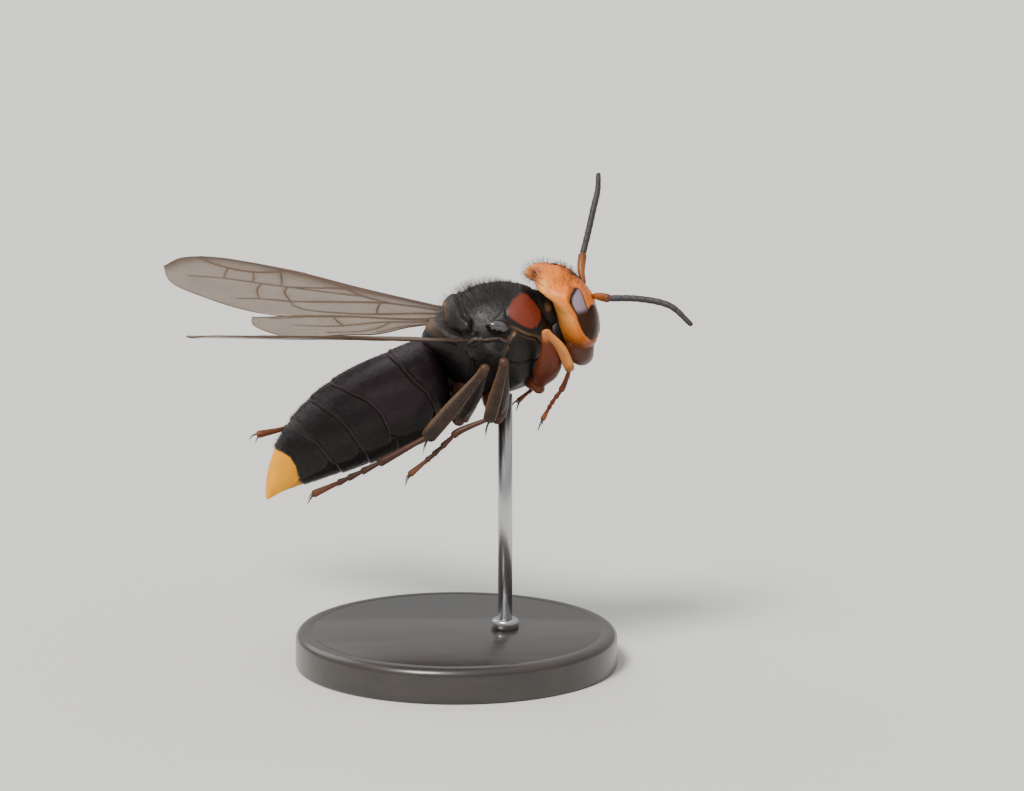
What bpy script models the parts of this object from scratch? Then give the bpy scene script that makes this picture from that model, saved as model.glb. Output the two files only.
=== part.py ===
# Giant hornet, a worker in flight, life size, held over a plain display stand.
# Lengths are in millimetres until a mesh is finished; Blender's unit is the metre.
# The hornet faces -Y, its left side is +X, and +Z is up. The origin is under the middle of
# the stand's base, at the table.
# Places called "body" are measured from the middle of the thorax.

import math

import bmesh
import bpy
from mathutils import Matrix, Vector

MM = 0.001
GAP = 0.3                      # room between neighbouring solids
BODY_PLACE = (0.0, -3.0, 28.0)  # middle of the thorax, from the middle of the base
WING_THICKNESS = 0.5
THORAX_PITCH = 12.0            # degrees, nose up

# Thorax: a swollen box that is fuller in front than behind
THORAX_MIDDLE = -0.1
THORAX_HALF_LENGTH = 5.1
THORAX_HALF_WIDTH = 4.6
THORAX_TOP = 4.65
THORAX_BOTTOM = 4.75
FRONT_FULLNESS = 2.35
REAR_FULLNESS = 1.95
PRONOTUM_END = -3.0            # cuts across the thorax, along its own axis
PROPODEUM_START = 2.5

# Gaster: its spine bends down more and more towards the tip
GASTER_START = (3.6, -3.75)    # body Y and Z of the middle of its front face
GASTER_LENGTH = 18.4
GASTER_HALF_HEIGHT = 4.15
GASTER_HALF_WIDTH = 4.7
GASTER_SHOULDER = 3.6          # distance over which the front face swells
GASTER_FIRST_DROOP = 19.0
GASTER_ADDED_DROOP = 40.0
GASTER_TAPER = 2.6
TIP_ROUNDING = 0.1             # keeps the tip from closing to a needle
GASTER_FRONT_FULLNESS = 2.8
PETIOLE_RISE = 1.3             # the stalk meets the front face above its middle
SEGMENT_ENDS = (4.2, 8.2, 10.6, 13.0, 15.2)

# Head: measured forward, left and up from its own middle
HEAD_PLACE = (0.0, -5.9, 2.3)
HEAD_PITCH = 11.0
HEAD_ROLL = -9.0
HEAD_YAW = 6.0
HEAD_HALF_WIDTH = 4.6
HEAD_HALF_HEIGHT = 3.9
FACE_DEPTH = 2.6
VERTEX_DEPTH = 2.75
NAPE_DEPTH = 1.25
CHIN_DEPTH = 0.35
# Heights below are shares of the head's half height, up from its middle
HEAD_SQUARENESS = 2.7          # how fast the width falls away towards crown and chin
CHIN_NARROWING = 0.22
CHIN_POWER = 1.6
FACE_SQUARENESS = 3.0
CROWN_SLOPE = 0.8             # share of the face's depth lost at the crown
CROWN_POWER = 1.6
NAPE_TOP = 0.3                 # the hollow nape ends here
OVERHANG_RISE = 0.35           # and reaches its full overhang over this height
CROWN_ROUNDING_START = 0.6
CROWN_ROUNDING = 2.2
SIDE_CORNER = 0.85             # below one, the plan is fuller than an ellipse
FACE_CORNER = 0.9

EYE_PLACE = (1.2, 3.3, 0.55)
EYE_HALF_SIZE = (1.0, 1.2, 2.4)
EYE_LEAN = -12.0              # the top lies further back than the foot
EYE_SPLAY = 28.0

MANDIBLE_PATH = ((0.7, 2.2, -2.9), (0.8, 2.0, -3.9), (1.1, 1.2, -4.5), (1.45, 0.75, -4.7))
MANDIBLE_RADII = (1.0, 0.9, 0.55, 0.3)

SCAPE_ROOT = (2.6, 1.1, 0.9)
SCAPE_RADII = (0.24, 0.28, 0.33)
FLAGELLUM_RADII = (0.26, 0.31, 0.31, 0.25)
ANTENNAE = {
    "left": ((3.1, -7.85, 6.2), (5.5, -8.55, 9.15), (6.8, -9.1, 10.7), (8.0, -9.7, 12.05)),
    "right": ((-3.8, -9.3, 4.05), (-5.0, -11.85, 4.2), (-6.0, -14.25, 3.8), (-6.8, -15.9, 2.4)),
}

TEGULA_PLACE = (4.55, -0.05, 1.95)
TEGULA_HALF_SIZE = (0.45, 0.95, 0.5)

# Wings lie swept back, tips raised, in one slanting plane for each side
WING_ROOT = (4.6, 1.0, 0.85)
WING_SWEEP = (0.5, 0.855)
WING_RISE = {"left": 0.09, "right": 0.14}
WING_TWIST = 10.5
FOREWING = (
    (0.6, -0.5), (5.0, -0.8), (12.0, -1.0), (19.0, -1.5), (24.5, -1.3), (27.6, 0.2), (28.3, 2.2),
    (26.3, 4.8), (22.0, 6.6), (17.0, 6.9), (12.5, 5.8), (7.0, 3.3), (2.5, 1.2), (0.6, 0.5),
)
HINDWING = (
    (1.7, 1.7), (5.8, 3.45), (10.6, 5.65), (14.2, 7.1), (16.6, 8.6), (15.4, 10.3), (11.6, 10.6),
    (7.2, 8.2), (3.9, 5.0), (1.9, 2.4),
)

# Legs: the hip, the end of the coxa, the knee, the ankle and then points along the tarsus.
# Radii are given from the upper to the lower end of each part.
SEAT = 0.45                    # how far a part's hidden root reaches into the part above
LEG_RADII = {
    "fore": {"coxa": (0.95, 0.8), "femur": (0.55, 0.8, 0.48), "tibia": (0.34, 0.42, 0.46),
             "tarsus": (0.32, 0.28, 0.27, 0.25)},
    "mid": {"coxa": (1.15, 0.8), "femur": (0.5, 0.72, 0.45), "tibia": (0.36, 0.52, 0.58),
            "tarsus": (0.36, 0.3, 0.28, 0.26, 0.25)},
    "hind": {"coxa": (1.25, 0.85), "femur": (0.5, 0.75, 0.48), "tibia": (0.38, 0.54, 0.62),
             "tarsus": (0.42, 0.34, 0.3, 0.27, 0.25)},
}
FEMUR_BOW = {"fore": (0.75, 0.0, 0.0), "mid": (0.15, 0.0, -0.2), "hind": (0.15, 0.0, -0.2)}
LEG_JOINTS = {
    ("fore", "right"): (
        (-1.5, -3.1, -3.2), (-2.6, -3.8, -4.5), (-4.95, -4.1, 1.5), (-5.0, -6.05, -1.6),
        (-4.8, -5.5, -3.2), (-4.6, -4.65, -4.5), (-4.3, -3.9, -5.95)),
    ("fore", "left"): (
        (1.5, -3.1, -3.2), (2.6, -3.8, -4.5), (4.95, -4.1, 1.5), (5.0, -5.9, -1.7),
        (4.7, -5.1, -3.5), (4.3, -3.9, -5.2), (4.0, -2.6, -6.3)),
    ("mid", "right"): (
        (-1.5, -0.2, -4.3), (-2.6, -0.2, -6.2), (-6.3, -0.45, -0.6), (-6.8, 0.8, -5.3),
        (-6.6, 3.25, -6.35), (-6.5, 4.1, -7.1), (-6.4, 5.35, -8.3), (-6.2, 7.3, -10.0)),
    ("mid", "left"): (
        (1.5, -0.2, -4.3), (2.6, -0.2, -6.2), (6.3, -0.45, -0.6), (6.8, 0.8, -5.3),
        (6.5, 3.2, -6.3), (6.3, 4.3, -6.9), (6.2, 5.6, -7.7), (6.0, 7.8, -9.2)),
    ("hind", "right"): (
        (-1.5, 2.2, -4.0), (-2.6, 3.0, -6.3), (-6.7, 1.15, -1.0), (-7.2, 5.85, -6.55),
        (-6.9, 9.85, -8.8), (-6.7, 12.1, -9.95), (-6.5, 13.5, -10.65), (-6.3, 15.3, -11.5)),
    ("hind", "left"): (
        (1.5, 2.2, -4.0), (2.6, 3.0, -6.3), (6.6, 2.2, -1.5), (6.4, 8.65, -5.35),
        (5.9, 12.8, -7.1), (5.4, 15.2, -8.0), (5.0, 17.2, -8.6), (4.5, 19.2, -8.9)),
}

# Stand
BASE_RADIUS = 13.5
BASE_THICKNESS = 3.0
BASE_BEVEL = 0.6
ROD_RADIUS = 0.6
ROD_Y = -4.1
ROD_OVERLAP = 3.0              # the rod is drawn into the body, then cut clear of it

COLOURS = {
    "black_shell": ((0.012, 0.010, 0.012, 1.0), 0.32),
    "orange_shell": ((0.62, 0.22, 0.04, 1.0), 0.38),
    "yellow_shell": ((0.75, 0.42, 0.03, 1.0), 0.4),
    "eye": ((0.03, 0.012, 0.010, 1.0), 0.2),
    "leg_shell": ((0.06, 0.03, 0.02, 1.0), 0.4),
    "antenna_shell": ((0.05, 0.03, 0.03, 1.0), 0.5),
    "wing_membrane": ((0.16, 0.09, 0.04, 1.0), 0.35),
    "stand_wood": ((0.03, 0.03, 0.032, 1.0), 0.4),
    "stand_steel": ((0.6, 0.6, 0.62, 1.0), 0.3),
}

for old in list(bpy.data.objects):
    bpy.data.objects.remove(old, do_unlink=True)

hornet = bpy.data.collections.new("giant_hornet")
cutters = bpy.data.collections.new("cutters")
for group in (hornet, cutters):
    bpy.context.scene.collection.children.link(group)

bodyFrame = Matrix.Translation(BODY_PLACE)
thoraxFrame = bodyFrame @ Matrix.Rotation(math.radians(-THORAX_PITCH), 4, "X")
headFrame = (
    bodyFrame @ Matrix.Translation(HEAD_PLACE)
    @ Matrix.Rotation(math.radians(HEAD_YAW), 4, "Z")
    @ Matrix.Rotation(math.radians(-HEAD_PITCH), 4, "X")
    @ Matrix.Rotation(math.radians(HEAD_ROLL), 4, "Y")
)


def head_point(forward, left, up):
    return Vector((left, -forward, up))


def mirrored(point, side):
    sign = 1 if side == "left" else -1
    return Vector((point[0] * sign, point[1], point[2]))


def material(slot, name):
    colour, roughness = COLOURS[slot]
    made = bpy.data.materials.new(name + "_finish")
    made.use_nodes = True
    shader = made.node_tree.nodes["Principled BSDF"]
    shader.inputs["Base Color"].default_value = colour
    shader.inputs["Roughness"].default_value = roughness
    shader.inputs["Metallic"].default_value = 1.0 if slot == "stand_steel" else 0.0
    return made


def finish(name, mesh_maker, frame, slot):
    """Scale a mesh from millimetres, place it by its frame and give it its material."""
    mesh = bpy.data.meshes.new(name)
    mesh_maker.normal_update()
    mesh_maker.to_mesh(mesh)
    mesh_maker.free()
    mesh.transform(Matrix.Scale(MM, 4) @ frame)
    mesh.shade_smooth()
    mesh.set_sharp_from_angle(angle=math.radians(40))
    piece = bpy.data.objects.new(name, mesh)
    mesh.materials.append(material(slot, name))
    hornet.objects.link(piece)
    return piece


def swollen_sphere(shape, segments, rings):
    """A closed ball whose points are moved by shape(unit point)."""
    ball = bmesh.new()
    bmesh.ops.create_uvsphere(ball, u_segments=segments, v_segments=rings, radius=1.0)
    for vert in ball.verts:
        vert.co = shape(vert.co.copy())
    bmesh.ops.recalc_face_normals(ball, faces=ball.faces)
    return ball


def slice_between(ball, low, high):
    """Keep the part between two planes, each a (point, direction) pair or None."""
    for plane, sign in ((low, -1), (high, 1)):
        if plane is None:
            continue
        point, direction = plane
        geometry = ball.verts[:] + ball.edges[:] + ball.faces[:]
        cut = bmesh.ops.bisect_plane(
            ball, geom=geometry, plane_co=point, plane_no=direction,
            clear_outer=sign > 0, clear_inner=sign < 0)
        rim = [item for item in cut["geom_cut"] if isinstance(item, bmesh.types.BMEdge)]
        bmesh.ops.holes_fill(ball, edges=rim)
    bmesh.ops.recalc_face_normals(ball, faces=ball.faces)
    return ball


def clear_of(piece, neighbour, room=GAP):
    """Cut the piece back until it is a gap away from its neighbour."""
    mesh = neighbour.data.copy()
    shell = bmesh.new()
    shell.from_mesh(mesh)
    shell.normal_update()
    moves = [vert.normal * room * MM for vert in shell.verts]
    for vert, move in zip(shell.verts, moves):
        vert.co += move
    shell.to_mesh(mesh)
    shell.free()
    cutter = bpy.data.objects.new(f"cutter_{piece.name}_{neighbour.name}"[:60], mesh)
    cutter.hide_render = True
    cutter.display_type = "WIRE"
    cutters.objects.link(cutter)
    cut = piece.modifiers.new("clear_of_" + neighbour.name, "BOOLEAN")
    cut.operation = "DIFFERENCE"
    cut.solver = "EXACT"
    cut.object = cutter


def limb(name, points, radii, slot, frame=bodyFrame, sides=2):
    """A tapering tube through points, rounded by a smooth curve, with welded caps."""
    line = bpy.data.curves.new(name + "_line", "CURVE")
    line.dimensions = "3D"
    line.bevel_depth = 1.0
    line.bevel_resolution = sides
    line.use_fill_caps = True
    spline = line.splines.new("POLY")
    places, sizes = smooth_path(points, radii)
    spline.points.add(len(places) - 1)
    for item, place, size in zip(spline.points, places, sizes):
        item.co = (*place, 1.0)
        item.radius = size
    guide = bpy.data.objects.new(name + "_guide", line)
    hornet.objects.link(guide)
    reader = bpy.context.evaluated_depsgraph_get()
    mesh = bpy.data.meshes.new_from_object(guide.evaluated_get(reader))
    tube = bmesh.new()
    tube.from_mesh(mesh)
    bmesh.ops.remove_doubles(tube, verts=tube.verts, dist=0.001)
    bmesh.ops.recalc_face_normals(tube, faces=tube.faces)
    bpy.data.objects.remove(guide, do_unlink=True)
    bpy.data.meshes.remove(mesh)
    return finish(name, tube, frame, slot)


def smooth_path(points, radii, steps=3):
    """Read a smooth curve through the points, with the radii eased between them."""
    knots = [Vector(point) for point in points]
    if len(knots) == 2:
        return knots, list(radii)
    places = []
    sizes = []
    for index in range(len(knots) - 1):
        before = knots[max(index - 1, 0)]
        start, end = knots[index], knots[index + 1]
        after = knots[min(index + 2, len(knots) - 1)]
        for step in range(steps):
            t = step / steps
            places.append(0.5 * (
                2 * start + (end - before) * t
                + (2 * before - 5 * start + 4 * end - after) * t ** 2
                + (3 * start - before - 3 * end + after) * t ** 3))
            sizes.append(radii[index] * (1 - t) + radii[index + 1] * t)
    places.append(knots[-1])
    sizes.append(radii[-1])
    return places, sizes


def bulge(t, fullness):
    """A rounded profile, full at 0 and closed at 1; 2 gives a circle, more a squarer one."""
    return max(1 - t ** fullness, 0.0) ** (1 / fullness)


def thorax_shape(point):
    t = point.y
    girth = bulge(abs(t), FRONT_FULLNESS if t < 0 else REAR_FULLNESS)
    around = math.atan2(point.z, point.x)
    height = THORAX_TOP if point.z > 0 else THORAX_BOTTOM
    return Vector((
        THORAX_HALF_WIDTH * girth * math.cos(around),
        THORAX_MIDDLE + THORAX_HALF_LENGTH * t,
        height * girth * math.sin(around)))


def upright_to_lengthwise(point):
    """Turn a ball so that its poles lie along the body."""
    return Vector((point.x, point.z, -point.y))


def thorax_ball():
    return swollen_sphere(lambda p: thorax_shape(upright_to_lengthwise(p)), 24, 16)


def thorax():
    front = (Vector((0, PRONOTUM_END, 0)), Vector((0, 1, 0)))
    back = (Vector((0, PROPODEUM_START, 0)), Vector((0, 1, 0)))
    half = Vector((0, GAP / 2, 0))
    spans = {
        "pronotum": (None, (front[0] - half, front[1])),
        "mesothorax": ((front[0] + half, front[1]), (back[0] - half, back[1])),
        "propodeum": ((back[0] + half, back[1]), None),
    }
    pieces = {}
    for name, (low, high) in spans.items():
        part = slice_between(thorax_ball(), low, high)
        pieces[name] = finish(name, part, thoraxFrame, "black_shell")
    return pieces


def gaster_frame(s):
    """Middle of the spine at a distance along it, and the spine's direction there."""
    def heading(along):
        droop = math.radians(GASTER_FIRST_DROOP + GASTER_ADDED_DROOP * (along / GASTER_LENGTH) ** 2)
        return Vector((0, math.cos(droop), -math.sin(droop)))

    steps = 40
    place = Vector((0, *GASTER_START))
    for step in range(steps):
        place += heading(s * (step + 0.5) / steps) * s / steps
    return place, heading(s)


def gaster_girth(s):
    if s < GASTER_SHOULDER:
        return bulge((GASTER_SHOULDER - s) / GASTER_SHOULDER, GASTER_FRONT_FULLNESS)
    reach = GASTER_LENGTH + TIP_ROUNDING - GASTER_SHOULDER
    return 1 - ((s - GASTER_SHOULDER) / reach) ** GASTER_TAPER


def gaster_shape(point):
    s = GASTER_LENGTH * (1 + point.y) / 2
    place, along = gaster_frame(s)
    upward = Vector((1, 0, 0)).cross(along)
    rise = PETIOLE_RISE * max(1 - s / GASTER_SHOULDER, 0.0) ** 2
    around = math.atan2(point.z, point.x)
    girth = gaster_girth(s)
    return (place + upward * (rise + GASTER_HALF_HEIGHT * girth * math.sin(around))
            + Vector((GASTER_HALF_WIDTH * girth * math.cos(around), 0, 0)))


def gaster():
    ends = (None, *SEGMENT_ENDS, None)
    pieces = []
    for number in range(1, 7):
        ball = swollen_sphere(lambda p: gaster_shape(upright_to_lengthwise(p)), 24, 26)
        planes = []
        for end, shift in ((ends[number - 1], GAP / 2), (ends[number], -GAP / 2)):
            if end is None:
                planes.append(None)
                continue
            place, along = gaster_frame(end)
            planes.append((place + along * shift, along))
        slot = "yellow_shell" if number == 6 else "black_shell"
        pieces.append(finish(f"abdomen_{number}", slice_between(ball, *planes), bodyFrame, slot))
    return pieces


def head_shape(point):
    """A broad shield: full face, overhanging crown, hollow nape, narrow chin."""
    u = point.z
    width = HEAD_HALF_WIDTH * bulge(abs(u), HEAD_SQUARENESS)
    face = FACE_DEPTH * bulge(abs(u), FACE_SQUARENESS)
    if u < 0:
        width *= 1 - CHIN_NARROWING * abs(u) ** CHIN_POWER
    else:
        face *= 1 - CROWN_SLOPE * u ** CROWN_POWER
    if u > NAPE_TOP:
        ease = min((u - NAPE_TOP) / OVERHANG_RISE, 1.0)
        back = NAPE_DEPTH + (VERTEX_DEPTH - NAPE_DEPTH) * ease ** 2 * (3 - 2 * ease)
        back *= 1 - CROWN_ROUNDING * max(u - CROWN_ROUNDING_START, 0.0) ** 2
    else:
        ease = (NAPE_TOP - u) / (NAPE_TOP + 1)
        back = NAPE_DEPTH + (CHIN_DEPTH - NAPE_DEPTH) * ease
    around = math.atan2(point.y, point.x)
    across = math.copysign(abs(math.cos(around)) ** SIDE_CORNER, math.cos(around))
    forth = math.copysign(abs(math.sin(around)) ** FACE_CORNER, -math.sin(around))
    lift = HEAD_HALF_HEIGHT * u
    middle = (face - back) / 2
    half = (face + back) / 2
    return head_point(middle + half * forth, width * across, lift)


def head():
    ball = swollen_sphere(head_shape, 26, 19)
    return finish("head", ball, headFrame, "orange_shell")


def eye(side):
    turn = 1 if side == "left" else -1
    lean = Matrix.Rotation(math.radians(EYE_LEAN), 4, "X")
    splay = Matrix.Rotation(math.radians(EYE_SPLAY) * turn, 4, "Z")
    forward, left, up = EYE_PLACE
    place = Matrix.Translation(head_point(forward, left * turn, up))

    def shape(point):
        depth, across, tall = EYE_HALF_SIZE
        return Vector((point.x * across, point.y * depth, point.z * tall))

    frame = headFrame @ place @ lean @ splay
    return finish("eye_" + side, swollen_sphere(shape, 16, 12), frame, "eye")


def mandible(side):
    turn = 1 if side == "left" else -1
    points = [head_point(forward, left * turn, up) for forward, left, up in MANDIBLE_PATH]
    return limb("mandible_" + side, points, MANDIBLE_RADII, "orange_shell", headFrame, 3)


def antenna(side):
    turn = 1 if side == "left" else -1
    forward, left, up = SCAPE_ROOT
    root = bodyFrame.inverted() @ headFrame @ head_point(forward, left * turn, up)
    elbow, *rest = [Vector(point) for point in ANTENNAE[side]]
    scape = limb(f"antenna_{side}_scape", (root, (root + elbow) / 2, elbow), SCAPE_RADII, "leg_shell")
    lash = (seated(root, elbow), *rest)
    flagellum = limb(f"antenna_{side}_flagellum", lash, FLAGELLUM_RADII, "antenna_shell")
    return scape, flagellum


def tegula(side):
    def shape(point):
        across, along, tall = TEGULA_HALF_SIZE
        return Vector((point.x * across, point.y * along, point.z * tall))

    place = Matrix.Translation(mirrored(TEGULA_PLACE, side))
    return finish("tegula_" + side, swollen_sphere(shape, 12, 8), bodyFrame @ place, "black_shell")


def wing_frame(side):
    """Span along X, chord towards the trailing edge along Y."""
    span = Vector((*WING_SWEEP, WING_RISE[side])).normalized()
    level = Vector((-span.y, span.x, 0)).normalized()
    under = level.cross(span).normalized()
    if under.z > 0:
        under = -under
    twist = math.radians(WING_TWIST)
    chord = level * math.cos(twist) + under * math.sin(twist)
    normal = span.cross(chord)
    turned = Matrix((span, chord, normal)).transposed().to_4x4()
    placed = Matrix.Translation(WING_ROOT) @ turned
    if side == "right":
        placed = Matrix.Scale(-1, 4, (1, 0, 0)) @ placed
    return bodyFrame @ placed


def wing(name, outline, side):
    flat = bpy.data.curves.new(name + "_outline", "CURVE")
    flat.dimensions = "2D"
    flat.fill_mode = "BOTH"
    flat.extrude = WING_THICKNESS / 2
    flat.resolution_u = 3
    spline = flat.splines.new("BEZIER")
    spline.bezier_points.add(len(outline) - 1)
    for knot, place in zip(spline.bezier_points, outline):
        knot.co = (*place, 0)
        knot.handle_left_type = "AUTO"
        knot.handle_right_type = "AUTO"
    spline.use_cyclic_u = True
    guide = bpy.data.objects.new(name + "_guide", flat)
    hornet.objects.link(guide)
    reader = bpy.context.evaluated_depsgraph_get()
    mesh = bpy.data.meshes.new_from_object(guide.evaluated_get(reader))
    plate = bmesh.new()
    plate.from_mesh(mesh)
    bmesh.ops.remove_doubles(plate, verts=plate.verts, dist=0.001)
    bmesh.ops.transform(plate, matrix=wing_frame(side), verts=plate.verts)
    bmesh.ops.recalc_face_normals(plate, faces=plate.faces)
    bpy.data.objects.remove(guide, do_unlink=True)
    bpy.data.meshes.remove(mesh)
    return finish(name, plate, Matrix.Identity(4), "wing_membrane")


def seated(upper, end):
    """A point just inside the lower end of the part above."""
    return end + (upper - end).normalized() * SEAT


def leg(pair, side):
    hip, hinge, knee, ankle, *toes = [Vector(point) for point in LEG_JOINTS[(pair, side)]]
    bow = mirrored(FEMUR_BOW[pair], side)
    paths = {
        "coxa": (hip, hinge),
        "femur": (seated(hip, hinge), (hinge + knee) / 2 + bow, knee),
        "tibia": (seated(hinge, knee), (knee + ankle) / 2, ankle),
        "tarsus": (seated(knee, ankle), *toes),
    }
    slot = "orange_shell" if pair == "fore" else "leg_shell"
    return {
        part: limb(f"leg_{pair}_{side}_{part}", path, LEG_RADII[pair][part], slot)
        for part, path in paths.items()
    }


def stand():
    disc = bmesh.new()
    bmesh.ops.create_cone(
        disc, cap_ends=True, segments=48, radius1=BASE_RADIUS, radius2=BASE_RADIUS, depth=BASE_THICKNESS)
    place = Matrix.Translation((0, 0, BASE_THICKNESS / 2))
    base = finish("stand_base", disc, place, "stand_wood")
    edge = base.modifiers.new("rounded_rim", "BEVEL")
    edge.width = BASE_BEVEL * MM
    edge.segments = 2
    edge.limit_method = "ANGLE"
    foot = BASE_THICKNESS + GAP
    top = BODY_PLACE[2] - ROD_OVERLAP
    rod_mesh = bmesh.new()
    bmesh.ops.create_cone(
        rod_mesh, cap_ends=True, segments=16, radius1=ROD_RADIUS, radius2=ROD_RADIUS, depth=top - foot)
    place = Matrix.Translation((0, ROD_Y, (foot + top) / 2))
    rod = finish("stand_rod", rod_mesh, place, "stand_steel")
    return base, rod


def main():
    thorax_pieces = thorax()
    whole_thorax = finish("thorax_outline", thorax_ball(), thoraxFrame, "black_shell")
    segments = gaster()
    skull = head()
    clear_of(skull, whole_thorax)
    for side in ("left", "right"):
        seeing = eye(side)
        clear_of(skull, seeing, GAP)
        jaw = mandible(side)
        clear_of(jaw, skull, GAP)
        scape, flagellum = antenna(side)
        clear_of(scape, skull)
        clear_of(flagellum, scape)
        plate = tegula(side)
        clear_of(plate, whole_thorax)
        wing("forewing_" + side, FOREWING, side)
        wing("hindwing_" + side, HINDWING, side)
        for pair in ("fore", "mid", "hind"):
            parts = leg(pair, side)
            clear_of(parts["coxa"], whole_thorax)
            clear_of(parts["femur"], parts["coxa"])
            clear_of(parts["femur"], whole_thorax)
            clear_of(parts["tibia"], parts["femur"])
            clear_of(parts["tarsus"], parts["tibia"])
    base, rod = stand()
    clear_of(rod, whole_thorax)
    clear_of(segments[0], whole_thorax)
    bpy.data.objects.remove(whole_thorax, do_unlink=True)


main()
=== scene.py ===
import math

import bmesh
import bpy
import numpy as np
from mathutils import Matrix, Vector, noise


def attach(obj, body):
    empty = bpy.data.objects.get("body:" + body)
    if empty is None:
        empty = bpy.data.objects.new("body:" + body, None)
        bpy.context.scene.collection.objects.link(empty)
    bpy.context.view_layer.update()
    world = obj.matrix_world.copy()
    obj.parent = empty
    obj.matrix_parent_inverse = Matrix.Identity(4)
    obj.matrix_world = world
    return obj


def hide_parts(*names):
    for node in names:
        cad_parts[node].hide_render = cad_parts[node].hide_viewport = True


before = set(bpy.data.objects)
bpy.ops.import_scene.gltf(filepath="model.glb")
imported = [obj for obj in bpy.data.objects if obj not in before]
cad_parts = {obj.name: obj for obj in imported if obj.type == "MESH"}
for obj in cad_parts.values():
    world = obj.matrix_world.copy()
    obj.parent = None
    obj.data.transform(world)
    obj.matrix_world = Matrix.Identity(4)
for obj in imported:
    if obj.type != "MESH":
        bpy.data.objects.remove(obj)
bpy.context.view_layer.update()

# Shapes are drawn in millimetres, with the hornet facing -Y, its left at +X and +Z up.
# "Body" places are measured from the middle of the thorax.
metresPerMm = 0.001
bodyFrame = Matrix.Translation((0.0, -3.0, 28.0))
thoraxTurn = Matrix.Rotation(math.radians(-12.0), 4, "X")
headFrame = (
    bodyFrame @ Matrix.Translation((0.0, -5.82, 2.56))
    @ Matrix.Rotation(math.radians(8.8), 4, "Z")
    @ Matrix.Rotation(math.radians(-11.2), 4, "X")
    @ Matrix.Rotation(math.radians(-7.3), 4, "Y")
)
dice = np.random.default_rng(7)


def ease(low, high, values):
    share = np.clip((np.asarray(values, float) - low) / (high - low), 0, 1)
    return share * share * (3 - 2 * share)


def hump(values, middle, width):
    return np.exp(-((np.asarray(values, float) - middle) / width) ** 2)


def bulge(values, fullness):
    return np.maximum(1 - np.abs(values) ** fullness, 0) ** (1 / fullness)


def moved(points, matrix):
    turned = np.array(matrix.to_3x3())
    return points @ turned.T + np.array(matrix.translation)


def smoothLine(knots, count):
    # evenly spaced places on a smooth curve through the knots
    knots = np.array(knots, float)
    if len(knots) == 2:
        share = np.linspace(0, 1, count)[:, None]
        return knots[0] * (1 - share) + knots[1] * share
    padded = np.vstack((2 * knots[0] - knots[1], knots, 2 * knots[-1] - knots[-2]))
    fine = []
    for a, b, c, d in zip(padded, padded[1:], padded[2:], padded[3:]):
        t = np.linspace(0, 1, 17)[:-1, None]
        fine.append(0.5 * (2 * b + (c - a) * t + (2 * a - 5 * b + 4 * c - d) * t ** 2
                           + (3 * b - a - 3 * c + d) * t ** 3))
    fine = np.vstack(fine + [knots[-1:]])
    reach = np.concatenate(([0], np.cumsum(np.linalg.norm(np.diff(fine, axis=0), axis=1))))
    wanted = np.linspace(0, reach[-1], count)
    return np.stack([np.interp(wanted, reach, fine[:, axis]) for axis in range(fine.shape[1])], axis=1)


def lineDistance(points, line):
    line = np.array(line, float)
    best = np.full(len(points), 1e9)
    for start, end in zip(line, line[1:]):
        along = end - start
        share = np.clip((points - start) @ along / max(along @ along, 1e-12), 0, 1)
        gap = points - start - share[:, None] * along
        best = np.minimum(best, np.sqrt((gap ** 2).sum(1)))
    return best


def insideDepth(points, outline):
    # distance to a closed flat outline, positive inside it
    outline = np.array(outline, float)
    closed = np.vstack((outline, outline[:1]))
    inside = np.zeros(len(points), bool)
    for start, end in zip(closed, closed[1:]):
        straddles = (start[1] > points[:, 1]) != (end[1] > points[:, 1])
        rise = end[1] - start[1]
        rise = rise if abs(rise) > 1e-12 else 1e-12
        crossing = start[0] + (points[:, 1] - start[1]) / rise * (end[0] - start[0])
        inside ^= straddles & (points[:, 0] < crossing)
    return np.where(inside, 1, -1) * lineDistance(points, closed)


def roughness3d(points, size, seed=0.0, octaves=3):
    return np.array([
        noise.fractal(Vector(point) / size + Vector((seed, seed, seed)), 1.0, 2.0, octaves)
        for point in points])


def verts(mesh):
    return np.array([vert.co for vert in mesh.verts])


def setVerts(mesh, places):
    for vert, place in zip(getattr(mesh, "verts", mesh), places):
        vert.co = place


def ball(segments, rings):
    mesh = bmesh.new()
    bmesh.ops.create_uvsphere(mesh, u_segments=segments, v_segments=rings, radius=1.0)
    return mesh


def fineBall(subdivisions):
    mesh = bmesh.new()
    bmesh.ops.create_icosphere(mesh, subdivisions=subdivisions, radius=1.0)
    return mesh


def normalsOf(mesh):
    mesh.normal_update()
    return np.array([vert.normal for vert in mesh.verts])


def outwards(mesh):
    mesh.normal_update()
    bmesh.ops.recalc_face_normals(mesh, faces=mesh.faces)


def newObject(name, data):
    made = bpy.data.objects.new(name, data)
    bpy.context.scene.collection.objects.link(made)
    return made


def finish(name, mesh, place, material, nodes=(), marks=None):
    # put a drawing in its place, in metres, and hand it to the frame; a mark is one share or one for each vert
    bmesh.ops.transform(mesh, matrix=Matrix.Scale(metresPerMm, 4) @ place, verts=mesh.verts)
    outwards(mesh)
    data = bpy.data.meshes.new(name)
    mesh.to_mesh(data)
    mesh.free()
    data.shade_smooth()
    for mark, values in (marks or {}).items():
        layer = data.attributes.new(mark, "FLOAT", "POINT")
        shares = np.broadcast_to(np.clip(values, 0, 1), len(data.vertices))
        layer.data.foreach_set("value", shares.astype(np.float32))
    data.materials.append(material)
    piece = newObject(name, data)
    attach(piece, "root")
    if nodes:
        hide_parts(*nodes)
    return piece


def closeHoles(mesh):
    bmesh.ops.holes_fill(mesh, edges=[edge for edge in mesh.edges if edge.is_boundary])


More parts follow.
